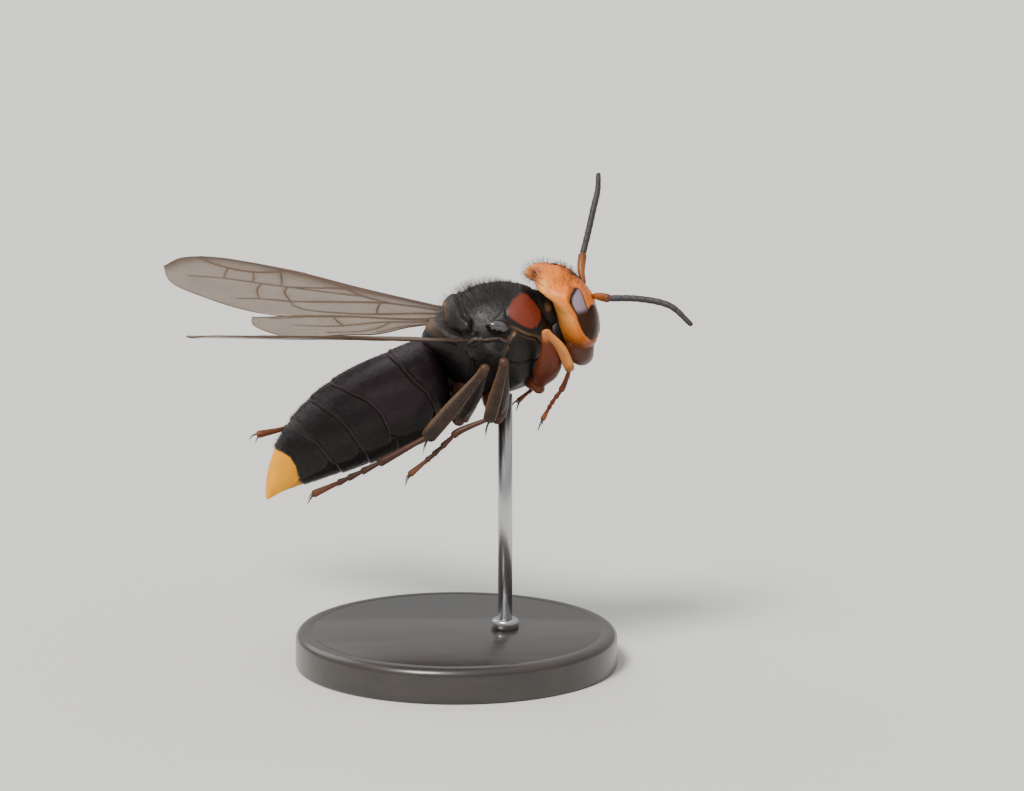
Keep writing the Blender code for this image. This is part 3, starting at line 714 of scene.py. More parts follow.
def thoraxPart(low, high):
    # a stretch of the thorax between two shares of its length, closed inside
    mesh = ball(thoraxRelief["segments"], thoraxRelief["rings"])
    for share, direction in ((low, -1), (high, 1)):
        if abs(share) < 1:
            cutAway(mesh, (0, 0, share), (0, 0, direction))
    setVerts(mesh, thoraxSurface(verts(mesh)))
    outwards(mesh)
    outward = normalsOf(mesh)
    places = verts(mesh)
    return mesh, places, outward, places[:, 1:3]


def buildMesothorax():
    mesh, places, outward, flat = thoraxPart(-1, 1)
    x, y, z = places.T
    dome = ease(1.8, 2.6, z)
    rise = np.full(len(places), -thoraxRelief["inset"])
    rise -= thoraxRelief["underCollar"] * ease(0.0, 0.5, insideDepth(flat, pronotumEdge))
    rise -= thoraxRelief["underScutellum"] * ease(0.0, 0.5, insideDepth(flat, scutellumEdge))
    # the dome: a middle furrow and two short side furrows
    rise -= thoraxRelief["furrow"] * hump(x, 0, 0.07) * dome * (1 - ease(0.6, 1.4, y))
    for sign in (1, -1):
        furrow = hump(x - sign * (1.9 + 0.08 * y), 0, 0.09)
        rise -= thoraxRelief["sideFurrow"] * furrow * dome * ease(-1.2, -0.4, y) * (1 - ease(2.0, 2.5, y))
    # the flank: grooves between its plates, and the deep pit over the hind wing
    flank = ease(2.2, 3.0, np.abs(x))
    for groove in flankGrooves:
        rise -= flank * thoraxRelief["groove"] * hump(lineDistance(flat, smoothLine(groove, 40)), 0, 0.11)
    rise += flank * thoraxRelief["frontPlate"] * ease(0.0, 0.9, insideDepth(flat, frontPlate))
    pitY, pitZ = thoraxRelief["wingPitPlace"]
    pit = np.hypot(y - pitY, (z - pitZ) * 1.2)
    rise -= flank * thoraxRelief["wingPit"] * (1 - ease(0.12, 0.5, pit))
    rise += thoraxRelief["grain"] * roughness3d(places, thoraxRelief["grainSize"], 1.0)
    setVerts(mesh, places + outward * rise[:, None])
    tan = flank * 0.75 * hump(lineDistance(flat, smoothLine(tanSeam, 40)), 0, 0.14)
    tan = np.maximum(tan, 0.35 * (1 - ease(0.3, 0.9, np.hypot(y - 2.5, z - 2.05))) * flank)
    # the darkening in the pit over the hind wing is painted shade
    finish("mesothorax_shell", mesh, bodyFrame, thoraxBlack, ["mesothorax"],
           {"rust_and_shade": 0, "tan": tan, "dark_and_shade": flank * 0.5 * (1 - ease(0.1, 0.5, pit))})
    covered = np.maximum(insideDepth(flat, pronotumEdge), insideDepth(flat, scutellumEdge))
    return places + outward * rise[:, None], outward, covered


def buildPronotum():
    mesh, places, outward, flat = thoraxPart(-1, 0.12)
    y, z = flat.T
    depth = insideDepth(flat, pronotumEdge)
    patch = insideDepth(flat, redPatch)
    rise = thoraxRelief["collar"] * ease(0.0, 0.22, depth) - 0.75 * ease(0.0, 0.5, -depth)
    rise += thoraxRelief["patch"] * ease(0.0, 1.0, patch) - thoraxRelief["patchGroove"] * hump(patch, -0.1, 0.10)
    rise -= thoraxRelief["collarFront"] * ease(-3.9, -4.5, y) * ease(1.0, 2.5, z)
    rise += thoraxRelief["collarGrain"] * roughness3d(places, thoraxRelief["grainSize"], 2.0)
    setVerts(mesh, places + outward * rise[:, None])
    tan = 0.55 * hump(depth, 0.05, 0.1) * ease(-0.5, -1.5, y)
    tan = tan * (1 - ease(1.5, 2.4, z)) * (1 - ease(2.4, 3.0, np.abs(y + 1.5)))
    finish("pronotum_collar", mesh, bodyFrame, thoraxBlack, ["pronotum"],
           {"rust_and_shade": ease(-0.02, 0.14, patch), "tan": tan, "dark_and_shade": 0.6 * hump(patch, -0.12, 0.14)})
    return places + outward * rise[:, None], outward, depth


def buildRear():
    mesh, places, outward, flat = thoraxPart(0.2, 1)
    x, y, z = places.T
    scutellum = insideDepth(flat, scutellumEdge)
    metanotum = insideDepth(flat, metanotumEdge)
    below = ease(1.9, 2.3, y) * (z < 1.9)
    rise = -0.8 * (1 - ease(1.7, 2.15, y))
    rise = rise + 0.02
    rise += (thoraxRelief["scutellum"] * ease(0.0, 0.5, scutellum)
             + thoraxRelief["metanotum"] * ease(0.0, 0.28, metanotum))
    rise -= thoraxRelief["notch"] * hump(x, 0, 0.12) * ease(0.2, 0.6, scutellum)
    rise -= 0.5 * (1 - ease(-0.35, -0.05, scutellum)) * ease(2.3, 2.7, z) * (1 - ease(3.6, 4.1, y))
    rise -= thoraxRelief["rearFurrow"] * hump(x, 0, 0.3) * ease(0.6, 0.1, z) * ease(3.4, 4.4, y)
    rise += thoraxRelief["rearGrain"] * roughness3d(places, thoraxRelief["grainSize"], 5.0)
    slope = thoraxRelief["rearSlope"] * ease(3.3, 4.8, y) * hump(z, 0.3, 1.5) * hump(x, 0, 2.8)
    places = places + outward * rise[:, None] + slope[:, None] * np.array((0, 1.0, -0.2))
    setVerts(mesh, places)
    tan = 0.7 * ease(0.0, 0.4, scutellum) * hump(x, 0, 2.2) * ease(3.3, 3.9, y)
    tan = np.maximum(tan, 0.8 * ease(0.0, 0.3, metanotum) * hump(x, 0, 1.5))
    finish("thorax_rear", mesh, bodyFrame, thoraxBlack, ["propodeum"],
           {"rust_and_shade": 0, "tan": tan, "dark_and_shade": 0.3 * below})
    return places, outward, np.maximum(scutellum, metanotum)


neck = {
    "skin": ((0, -3.4, 2.1), (0, -4.6, 2.3), (0, -5.7, 2.5)), "skinWidths": (2.6, 1.7), "skinDepths": (2.0, 1.3),
    "plate": ((0.9, -3.0, -2.6), (1.15, -4.3, -0.9), (0.95, -5.1, 0.6), (0.7, -5.5, 1.6)),
    "plateWidths": (1.35, 0.85, 0.25), "plateDepths": (1.5, 0.8, 0.3), "bar": (-4.55, 3.1),
}


def buildNeck():
    # the soft neck, the two plates under it, and a pale bar on each flank
    mesh = bmesh.new()
    sweep(mesh, smoothLine(neck["skin"], 20), taper(20, *neck["skinWidths"]), taper(20, *neck["skinDepths"]), 40)
    for sign in (1, -1):
        path = smoothLine([(left * sign, y, z) for left, y, z in neck["plate"]], 26)
        sweep(mesh, path, taper(26, *neck["plateWidths"]), taper(26, *neck["plateDepths"]), 36)
    x, y, z = verts(mesh).T
    bar = np.hypot(y - neck["bar"][0], (z - neck["bar"][1]) * 0.6)
    finish("neck", mesh, bodyFrame, thoraxBlack, (),
           {"rust_and_shade": 0, "tan": (1 - ease(0.15, 0.4, bar)) * ease(1.0, 1.8, np.abs(x)), "dark_and_shade": 0.3})


tegula = {"place": (4.55, -0.05, 1.95), "halfSize": (0.62, 1.0, 0.52), "tilt": 10.0, "lean": 35.0, "tip": 0.22}
wingRoot = {
    "place": (3.92, 0.55, 0.0), "halfSize": (0.72, 2.1, 1.3), "crease": 0.16,
    # small plates on it: y, z, half length, half height and tilt
    "plates": ((-0.7, 0.75, 0.5, 0.16, 25), (0.4, 0.95, 0.9, 0.14, -6), (1.6, 0.7, 0.65, 0.16, -28)),
    "plateOut": 4.66, "plateThickness": 0.10,
}


def buildTegula(side, sign):
    mesh = fineBall(6)
    unit = verts(mesh)
    across, along, tall = tegula["halfSize"]
    x, y, z = unit.T
    tip = 1 - tegula["tip"] * ease(0.0, 1.0, y)
    setVerts(mesh, np.stack((x * across, y * along, z * tall * tip), axis=1))
    left, forward, up = tegula["place"]
    place = (bodyFrame @ Matrix.Translation((left * sign, forward, up))
             @ Matrix.Rotation(math.radians(tegula["tilt"]), 4, "X")
             @ Matrix.Rotation(math.radians(-tegula["lean"] * sign), 4, "Y"))
    finish("tegula_plate_" + side, mesh, place, tegulaBlack, ["tegula_" + side],
           {"tan": 0.5 * ease(-0.45, -0.85, z) * ease(-0.2, 0.6, -y), "dark_and_shade": ease(0.4, 0.95, np.hypot(y, z))})


def buildWingRoot(side, sign):
    # crumpled soft skin with small hard plates where the wings leave the flank
    mesh = fineBall(5)
    unit = verts(mesh)
    places = unit * np.array(wingRoot["halfSize"]) + np.array(wingRoot["place"]) * (sign, 1, 1)
    crease = roughness3d(places, 0.7, 8.0, 3)
    setVerts(mesh, places + unit * (wingRoot["crease"] * crease)[:, None])
    finish("wing_root_skin_" + side, mesh, bodyFrame, rootBrown, (),
           {"tan": ease(0.3, 0.8, crease) * 0.16, "dark_and_shade": np.maximum(ease(0.15, -0.35, crease), 0.35)})
    mesh = bmesh.new()
    for y, z, long, tall, turn in wingRoot["plates"]:
        shape = (Matrix.Translation((wingRoot["plateOut"] * sign, y, z))
                 @ Matrix.Rotation(math.radians(turn), 4, "X")
                 @ Matrix.Diagonal((wingRoot["plateThickness"], long, tall, 1)))
        bmesh.ops.create_uvsphere(mesh, u_segments=24, v_segments=14, radius=1.0, matrix=shape)
    places = verts(mesh)
    finish("wing_root_plates_" + side, mesh, bodyFrame, rootBrown, (),
           {"tan": 0.25 * ease(0.2, 0.9, roughness3d(places, 0.8, 4.0) + 0.5), "dark_and_shade": 0.5})


backSkin = buildMesothorax()
collarSkin = buildPronotum()
rearSkin = buildRear()
buildNeck()
for side, sign in (("left", 1), ("right", -1)):
    buildTegula(side, sign)
    buildWingRoot(side, sign)
print("thorax built")


gaster = {
    "start": (3.6, -3.75), "length": 18.4, "halfHeight": 4.15, "halfWidth": 4.7, "shoulder": 3.6,
    "firstDroop": 19.0, "addedDroop": 40.0, "taper": 2.6, "frontFullness": 2.8, "petioleRise": 1.3,
    "overlap": 0.9, "step": 0.10, "lip": 0.14,
    # where each plate ends along the gaster, at these heights in degrees above the side
    "heights": (-90, -30, -20, -10, 10, 30, 50, 70, 90),
    "rims": ((0, 0, 0, 0, 0, 0, 0, 0, 0), (3.0, 2.2, 2.0, 1.9, 2.1, 2.8, 3.25, 3.7, 4.0),
             (6.5, 5.9, 6.1, 6.2, 6.2, 6.8, 7.75, 8.45, 8.8), (9.2, 8.9, 9.0, 9.05, 9.15, 9.55, 10.05, 10.4, 10.7),
             (12.0, 11.7, 11.85, 11.95, 11.95, 12.15, 12.4, 12.65, 12.8),
             (15.5, 15.25, 15.1, 14.9, 14.45, 14.3, 14.5, 14.75, 14.9), (18.4,) * 9),
    # how low each plate's side hangs, in the same degrees
    "skirts": (-27, -27, -30, -28, -25, -30), "skirtCurve": 11,
    "underStep": 0.20, "lipStep": 0.16, "tuckStep": 0.22, "grain": 0.010, "grainSize": 0.35,
    # the first tuple is how strong the painted sheen is on each plate, the second the colour of its rim
    "painted_plum_sheen": (0.6, 0.9, 0.3, 0.1, 0), "tan": (0.4, 0.3, 0.25, 0.25, 0.15),
}
waist = {
    "path": ((0, 1.9, -3.0), (0, 3.0, -3.5), (0, 4.4, -3.9)),
    "widths": (1.9, 1.3, -0.35), "depths": (1.5, 1.1, -0.25),
}


def gasterSpine():
    steps = np.linspace(0, gaster["length"], 401)
    droop = np.radians(gaster["firstDroop"] + gaster["addedDroop"] * (steps / gaster["length"]) ** 2)
    along = np.stack((np.cos(droop), -np.sin(droop)), axis=1)
    places = np.array(gaster["start"]) + np.vstack(((0, 0), np.cumsum((along[1:] + along[:-1]) / 2, axis=0)
                                                    * steps[1]))
    return steps, places, along


spineSteps, spinePlaces, spineAlong = gasterSpine()


def gasterPoint(s, around, extra):
    # a place on the gaster at a distance along it, raised by extra
    s = np.clip(s, 0, gaster["length"])
    y = np.interp(s, spineSteps, spinePlaces[:, 0])
    z = np.interp(s, spineSteps, spinePlaces[:, 1])
    ay = np.interp(s, spineSteps, spineAlong[:, 0])
    az = np.interp(s, spineSteps, spineAlong[:, 1])
    shoulder = gaster["shoulder"]
    swell = bulge(np.clip((shoulder - s) / shoulder, 0, 1), gaster["frontFullness"])
    thin = 1 - np.clip((s - shoulder) / (gaster["length"] + 0.1 - shoulder), 0, 1) ** gaster["taper"]
    girth = np.where(s < shoulder, swell, thin)
    rise = gaster["petioleRise"] * np.maximum(1 - s / shoulder, 0) ** 2
    wide = np.maximum(gaster["halfWidth"] * girth + extra, 0.02)
    tall = np.maximum(gaster["halfHeight"] * girth + extra, 0.02)
    lift = rise + tall * np.sin(around)
    return np.stack((wide * np.cos(around), y - az * lift, z + ay * lift), axis=1)


def rimAt(number, height):
    return np.interp(height, gaster["heights"], gaster["rims"][number])


def buildTergum(number):
    first, last = number == 1, number == 6
    mesh = bmesh.new()
    tube(mesh, 264, 57, closed=False)
    unit = verts(mesh)
    share = (unit[:, 2] + 1) / 2
    around = np.arctan2(unit[:, 1], unit[:, 0])
    # seen end on: degrees above the side, the same on both sides
    height = np.degrees(np.arcsin(np.clip(np.sin(around), -1, 1)))
    start, end = rimAt(number - 1, height), rimAt(number, height)
    low = start if first else start - gaster["overlap"]
    s = low + (end - low) * share
    toRim = end - s
    span = np.clip((s - start) / (end - start), 0, 1)
    skirt = gaster["skirts"][number - 1] + gaster["skirtCurve"] * np.abs(2 * span - 1) ** 4 * (not first)
    under = ease(skirt + 1.2, skirt - 1.2, height)
    extra = gaster["step"] * span + 0.015 * hump(toRim, 0.16, 0.14) * (1 - under)
    extra = extra - gaster["tuckStep"] * ease(0.15, -0.35, s - start) * (not first)
    extra = extra - 0.03 * hump(toRim, 0.42, 0.10) * (1 - under) * (not last)
    extra = extra - under * (gaster["underStep"] + 0.05 * hump(height, -90, 40))
    extra = extra + 0.05 * hump(height - skirt, 2.5, 2.5)
    if first:
        extra = extra * ease(0.0, 0.8, s)
    extra = extra - gaster["lipStep"] * ease(gaster["lip"], 0.0, toRim) ** 2 * (not last)
    places = gasterPoint(s, around, extra)
    setVerts(mesh, places)
    closeHoles(mesh)
    outwards(mesh)
    outward = normalsOf(mesh)
    places = places + outward * (gaster["grain"] * roughness3d(places, gaster["grainSize"], 6.0))[:, None]
    setVerts(mesh, places)
    edge = hump(height - skirt, 0.8, 1.4)
    if last:
        finish("tergum_6", mesh, bodyFrame, tailYellow, ["abdomen_6"],
               {"rust_and_shade": under * 0.3 + edge * 0.7, "dark_and_shade": 0.4 * edge})
    else:
        rim = hump(toRim, 0.10, 0.06) * (1 - under)
        # painted sheen on the upper flanks of the front plates
        finish(f"tergum_{number}", mesh, bodyFrame, gasterBlack, [f"abdomen_{number}"],
               {"painted_plum_sheen": gaster["painted_plum_sheen"][number - 1] * ease(-25, 15, height),
                "tan": gaster["tan"][number - 1] * rim + 0.7 * edge, "dark_and_shade": 0.5 * under})
    showing = ease(0.6, 1.2, s) if first else ease(0.15, 0.4, s - start)
    return places, outward, showing * (toRim > 0.05), height


def buildWaist():
    # the narrow stalk between thorax and gaster
    mesh = bmesh.new()
    sweep(mesh, smoothLine(waist["path"], 20), taper(20, *waist["widths"]), taper(20, *waist["depths"]), 40)
    finish("waist", mesh, bodyFrame, thoraxBlack, (), {"rust_and_shade": 0, "tan": 0, "dark_and_shade": 0.3})


buildWaist()
gasterSkins = [buildTergum(number) for number in range(1, 7)]
print("gaster built")


legJoints = {
    ("fore", "right"): ((-1.5, -3.0, -2.9), (-2.7, -3.7, -3.7), (-4.95, -4.1, 1.5), (-5.0, -6.05, -1.6),
                        (-4.8, -5.5, -3.2), (-4.6, -4.65, -4.5), (-4.3, -3.9, -5.95)),
    ("fore", "left"): ((1.5, -3.0, -2.9), (2.7, -3.7, -3.7), (4.95, -4.1, 1.5), (5.0, -5.9, -1.7),
                       (4.7, -5.1, -3.5), (4.3, -3.9, -5.2), (4.0, -2.6, -6.3)),
    ("mid", "right"): ((-1.5, -0.2, -4.3), (-2.6, -0.2, -6.2), (-6.3, -0.45, -0.6), (-6.8, 0.8, -5.3),
                       (-6.6, 3.25, -6.35), (-6.5, 4.1, -7.1), (-6.4, 5.35, -8.3), (-6.2, 7.3, -10.0)),
    ("mid", "left"): ((1.5, -0.2, -4.3), (2.6, -0.2, -6.2), (6.3, -0.45, -0.6), (6.8, 0.8, -5.3),
                      (6.5, 3.2, -6.3), (6.3, 4.3, -6.9), (6.2, 5.6, -7.7), (6.0, 7.8, -9.2)),
    ("hind", "right"): ((-1.5, 2.2, -4.0), (-2.6, 3.0, -6.3), (-6.7, 1.15, -1.0), (-7.2, 5.85, -6.55),
                        (-6.9, 9.85, -8.8), (-6.7, 12.1, -9.95), (-6.5, 13.5, -10.65), (-6.3, 15.3, -11.5)),
    ("hind", "left"): ((1.5, 2.2, -4.0), (2.6, 3.0, -6.3), (6.6, 2.2, -1.5), (6.4, 8.65, -5.35),
                       (5.9, 12.8, -7.1), (5.4, 15.2, -8.0), (5.0, 17.2, -8.6), (4.5, 19.2, -8.9)),
}
legBuild = {
    "fore": {"coxa": (0.9, 0.5), "femur": (0.5, 1.10, 0.40), "thick": 0.55, "tibia": (0.30, 0.44, 0.40),
             "flat": 0.75, "tarsus": 0.25, "bow": (0.75, -0.5, 0), "first": 0.42, "bent": 0.28},
    "mid": {"coxa": (1.15, 0.75), "femur": (0.42, 0.74, 0.42), "thick": 0.85, "tibia": (0.34, 0.56, 0.52),
            "flat": 0.6, "tarsus": 0.30, "bow": (0.15, 0, -0.2), "first": 0.42, "bent": 0.06},
    "hind": {"coxa": (1.25, 0.8), "femur": (0.42, 0.78, 0.42), "thick": 0.85, "tibia": (0.36, 0.66, 0.64),
             "flat": 0.58, "tarsus": 0.345, "bow": (0.15, 0, -0.2), "first": 0.48, "bent": 0.06},
}
foot = {
    # the first joint's share is in legBuild; then the other joints' shares, and how thick each of the five is
    "shares": (0.17, 0.13, 0.10, 0.24), "girths": (1.15, 0.95, 0.90, 0.88, 1.0), "flat": 0.85,
    "spine": (0.38, 0.07), "claw": (1.05, 0.12), "spurGirth": 0.09, "pad": 0.17,
}
trochanter = {"ahead": 0.35, "beyond": 0.45, "girths": (0.44, 0.52, 0.55, 0.54, 0.5, 0.48, 0.44, 0.4)}
legStations = 34
legSkins = []


def hook(mesh, root, ahead, down, length, girth):
    # a curved, tapering claw or spur
    root, ahead, down = Vector(root), Vector(ahead).normalized(), Vector(down).normalized()
    path = smoothLine((root, root + ahead * length * 0.6 + down * length * 0.12,
                       root + ahead * length * 0.85 + down * length * 0.5), 8)
    sweep(mesh, path, girth * np.linspace(1, 0.12, 8) ** 0.8, None, 8, across=(0.3, 0.5, 0.8))


def limbWidths(t, stops, widths):
    # widths between the stops, with their corners softened
    return np.convolve(np.pad(np.interp(t, stops, widths), 2, "edge"), np.ones(5) / 5, "valid")


def buildLeg(pair, side, sign):
    build = legBuild[pair]
    hip, hinge, knee, ankle, *toes = [np.array(point) for point in legJoints[(pair, side)]]
    shell = legRust if pair == "fore" else legBrown
    name = f"leg_{pair}_{side}"
    outward = np.array((sign, 0.0, 0.0))

    def part(label, mesh, marks):
        full = {"pale_and_highlight": 0, "rust_and_shade": 0, "dark_and_shade": 0, **marks}
        if pair == "fore":
            full.pop("rust_and_shade")
        finish(f"{label}_{pair}_{side}", mesh, bodyFrame, shell, [f"{name}_{label}"], full)

    # coxa, with the small ring of the trochanter at its end
    top, bottom = build["coxa"]
    axis = hinge - hip
    mesh = bmesh.new()
    path = smoothLine((hip, hip + axis * 0.5 + outward * 0.15, hinge), 14)
    sweep(mesh, path, taper(14, top, bottom, 0.1), None, 26, dome=(0.5, 0.2))
    thigh = knee - hinge
    unitThigh = thigh / np.linalg.norm(thigh)
    ring = smoothLine((hinge - unitThigh * trochanter["ahead"], hinge + unitThigh * trochanter["beyond"]), 8)
    sweep(mesh, ring, np.array(trochanter["girths"]) * (0.9 if pair == "fore" else 1), None, 20, dome=(0.2, 0.2))
    part("coxa", mesh, {"rust_and_shade": 0.25})

    # femur
    bow = np.array(build["bow"]) * (sign, 1, 1)
    path = smoothLine((hinge + unitThigh * trochanter["ahead"], (hinge + knee) / 2 + bow, knee), legStations)
    t = np.linspace(0, 1, legStations)
    start, belly, end = build["femur"]
    widths = limbWidths(t, (0, 0.22, 0.5, 0.88, 1), (start, belly * 0.93, belly, end * 1.15, end))
    mesh = bmesh.new()
    sweep(mesh, path, widths, widths * build["thick"], 26, across=(0, 1, 0))
    places = verts(mesh)
    toKnee = np.linalg.norm(places - knee, axis=1)
    knob = 1.0 if pair == "fore" else 0.25
    part("femur", mesh, {"pale_and_highlight": (1 - ease(0.2, 1.0, toKnee)) * 0.7 * knob,
                         "rust_and_shade": (1 - ease(0.3, 1.6, toKnee)) * 0.5 * knob})

    # tibia: flattened, broad towards the ankle, its edges paler
    axis = ankle - knee
    length = np.linalg.norm(axis)
    bent = np.cross(axis, outward)
    bent = bent / np.linalg.norm(bent) * (-1 if bent[1] > 0 else 1)
    path = smoothLine((knee, knee + axis * 0.12 + bent * 0.08, knee + axis * 0.5 + bent * build["bent"], ankle),
                      legStations)
    start, belly, end = build["tibia"]
    widths = limbWidths(t, (0, 0.10, 0.2, 0.6, 0.9, 1),
                        (start * 1.1, start, start * 1.15, belly, belly * 1.02, end))
    mesh = bmesh.new()
    sweep(mesh, path, widths, widths * build["flat"], 28, across=tuple(bent))
    places = verts(mesh)
    outwards(mesh)
    skinNormals = normalsOf(mesh)
    along = ((places - knee) @ axis) / length ** 2
    spine = np.stack([np.interp(along, t, column) for column in path.T], axis=1)
    off = (places - spine) @ bent
    rimmed = ease(0.72, 1.0, np.abs(off) / np.interp(along, t, widths))
    marks = {"pale_and_highlight": 0.6 * rimmed + 0.1 * hump(along, 0.02, 0.06), "rust_and_shade": 0.05,
             "dark_and_shade": 0.5 * hump(along, 0.98, 0.05)}
    if pair == "fore":
        marks["pale_and_highlight"] = 0.5 + 0.5 * ease(-0.2, 0.4, off)
    part("tibia", mesh, marks)
    legSkins.append((places, skinNormals, axis / length))

    # tarsus: one long joint, three short ones and a slim last joint with two claws
    line = smoothLine((ankle, *toes), 300)
    shares = np.cumsum((0, build["first"], *foot["shares"]))
    stops = shares / shares[-1] * (len(line) - 1)
    mesh = bmesh.new()
    for number, (low, high) in enumerate(zip(stops, stops[1:])):
        stations = line[np.linspace(low, high, 12).astype(int)]
        slim = build["tarsus"] * foot["girths"][number]
        widths = slim * (0.62 + 0.48 * np.linspace(0, 1, 12) ** 1.3)
        sweep(mesh, stations, widths, widths * foot["flat"], 16)
        if number < 4:                             # the joint's lower corners run out in short spines
            tip, before = stations[-1], stations[-4]
            ahead = tip - before
            for spread in (1, -1):
                sideways = np.cross(ahead, (0, 0.3, 1.0))
                sideways = sideways / np.linalg.norm(sideways) * spread
                root = tip - ahead * 0.5 + sideways * slim * 0.75 - np.array((0, 0, slim * 0.35))
                hook(mesh, root, ahead + sideways * 0.35 * np.linalg.norm(ahead), (0, 0, -1), *foot["spine"])
    along = np.linalg.norm(verts(mesh) - ankle, axis=1) / np.linalg.norm(line[-1] - ankle)
    part("tarsus", mesh, {"rust_and_shade": 0.25 + 0.55 * ease(0.7, 1.0, along), "pale_and_highlight": 0.2 * ease(0.75, 1.0, along)})

    # claws, the soft pad between them, and the spurs of the tibia
    mesh = bmesh.new()
    tip = line[-1]
    ahead = line[-1] - line[-14]
    ahead = ahead / np.linalg.norm(ahead)
    sideways = np.cross(ahead, (0, 0.2, 1.0))
    sideways = sideways / np.linalg.norm(sideways)
    for spread in (1, -1):
        hook(mesh, tip - ahead * 0.08 + sideways * spread * 0.10, ahead * 0.6 + sideways * spread * 0.85,
             ahead * 0.4 + np.array((0, 0, -0.9)), *foot["claw"])
    for spread, long in ((1, 1.35), (-1, 1.0)) if pair != "fore" else ((1, 0.8),):
        heel = ankle + np.array((0, 0, -0.1)) + sideways * spread * 0.22
        hook(mesh, heel - ahead * 0.1, ahead + np.array((0, 0, -0.75)), (0, -0.2, -1), long, foot["spurGirth"])
    finish(f"claws_{pair}_{side}", mesh, bodyFrame, clawBlack)
    mesh = ball(16, 12)
    setVerts(mesh, verts(mesh) * foot["pad"] + tip + ahead * 0.12)
    finish(f"foot_pad_{pair}_{side}", mesh, bodyFrame, legRust, (), {"pale_and_highlight": 0.6, "dark_and_shade": 0})


for pair in ("fore", "mid", "hind"):
    for side, sign in (("left", 1), ("right", -1)):
        buildLeg(pair, side, sign)
print("legs built")


wing = {
    "root": (4.6, 1.0, 0.85), "sweep": (0.5, 0.855), "rise": {"left": 0.09, "right": 0.14}, "twist": 10.5,
    "thickness": 0.05, "veins": {"left": 1.25, "right": 0.8}, "tuck": 0.14,
    "columns": 150, "rows": 44, "veinDepth": 0.45, "rimStations": 260, "rimWidth": 0.05, "rimDepth": 0.035,
}
membrane = {
    "clear": (0.11, 0.062, 0.028), "cloudy": (0.15, 0.09, 0.044), "smoky": (0.055, 0.026, 0.012), "cloud": 2.2,
    "opacity": (0.6, 0.88), "roughness": 0.28, "ripple": 0.35, "relief": 0.25, "rippleDepth": 0.04,
}
forewing = {
    "lead": ((0.6, -0.5), (5.0, -0.8), (12.0, -1.0), (19.0, -1.5), (24.5, -1.3), (27.6, 0.2), (28.3, 2.2)),
    "trail": ((0.6, 0.6), (2.5, 1.65), (7.0, 3.85), (12.5, 6.3), (17.0, 7.25), (22.0, 6.7), (26.3, 4.8), (28.3, 2.2)),
    "veins": (
        (((0.4, -0.15), (6.0, -0.6), (12.0, -0.8), (16.9, -1.2)), 0.17, 0.11),
        (((16.6, -1.2), (18.3, -1.3), (20.2, -1.35)), 0.20, 0.14),
        (((20.0, -1.4), (23.5, -1.3), (26.4, -0.75)), 0.12, 0.07),
        (((18.3, -1.15), (20.3, -0.1), (22.8, 0.25), (25.2, -0.05), (26.4, -0.75)), 0.11, 0.07),
        (((0.4, 0.05), (4.0, 0.35), (7.6, 0.9)), 0.15, 0.11),
        (((7.6, 0.9), (10.4, 0.3), (13.4, -0.9)), 0.12, 0.10),
        (((7.6, 0.9), (11.0, 2.3), (15.4, 3.9)), 0.13, 0.09),
        (((10.2, 0.35), (13.6, 1.05), (16.8, 1.6)), 0.10, 0.08),
        (((16.8, 1.6), (16.5, 2.8), (15.4, 3.9)), 0.09, 0.07),
        (((12.4, -0.45), (14.4, 0.35), (16.8, 1.6)), 0.09, 0.07),
        (((16.8, 1.6), (19.2, 2.0), (22.3, 2.4), (25.4, 3.3)), 0.09, 0.05),
        (((19.0, 2.0), (18.9, 3.2), (18.0, 4.6)), 0.08, 0.05),
        (((15.4, 3.9), (18.0, 4.6), (19.6, 5.7)), 0.09, 0.05),
        (((0.6, 0.35), (3.0, 1.1), (7.5, 3.0), (11.5, 4.75), (13.4, 5.2)), 0.15, 0.07),
        (((13.4, 5.2), (14.6, 4.7), (15.4, 3.9)), 0.07, 0.07),
        (((8.2, 1.15), (8.1, 2.1), (7.7, 3.05)), 0.09, 0.08),
        (((17.4, 1.7), (17.9, 0.6), (18.8, -0.9)), 0.08, 0.06),
        (((20.0, 2.1), (20.3, 1.1), (20.9, 0.05)), 0.07, 0.06),
        (((22.4, 2.45), (22.9, 1.4), (23.2, 0.25)), 0.07, 0.06),
    ),
}
hindwing = {
    "lead": ((1.7, 1.7), (5.8, 3.45), (10.6, 5.65), (14.2, 7.1), (16.6, 8.6)),
    "trail": ((1.9, 2.4), (3.9, 5.0), (7.2, 8.2), (11.6, 10.6), (15.4, 10.3), (16.6, 8.6)),
    "veins": (
        (((1.4, 1.75), (5.8, 3.65), (10.4, 5.75)), 0.15, 0.10),
        (((10.4, 5.75), (13.2, 6.9), (15.2, 8.0)), 0.08, 0.05),
        (((1.8, 2.1), (5.6, 4.6), (9.0, 6.7), (12.6, 8.6)), 0.12, 0.05),
        (((9.0, 6.7), (9.9, 6.2), (10.4, 5.75)), 0.07, 0.07),
        (((5.6, 4.6), (6.0, 5.8), (7.6, 7.4), (9.4, 8.9)), 0.08, 0.05),
        (((1.8, 2.3), (3.9, 4.6), (5.9, 6.6)), 0.09, 0.05),
    ),
}


def wingFrame(side):
    span = Vector((*wing["sweep"], wing["rise"][side])).normalized()
    level = Vector((-span.y, span.x, 0)).normalized()
    under = level.cross(span).normalized()
    if under.z > 0:
        under = -under
    twist = math.radians(wing["twist"])
    chord = level * math.cos(twist) + under * math.sin(twist)
    turned = Matrix((span, chord, span.cross(chord))).transposed().to_4x4()
    placed = Matrix.Translation(wing["root"]) @ turned
    if side == "right":
        placed = Matrix.Scale(-1, 4, (1, 0, 0)) @ placed
    return bodyFrame @ placed


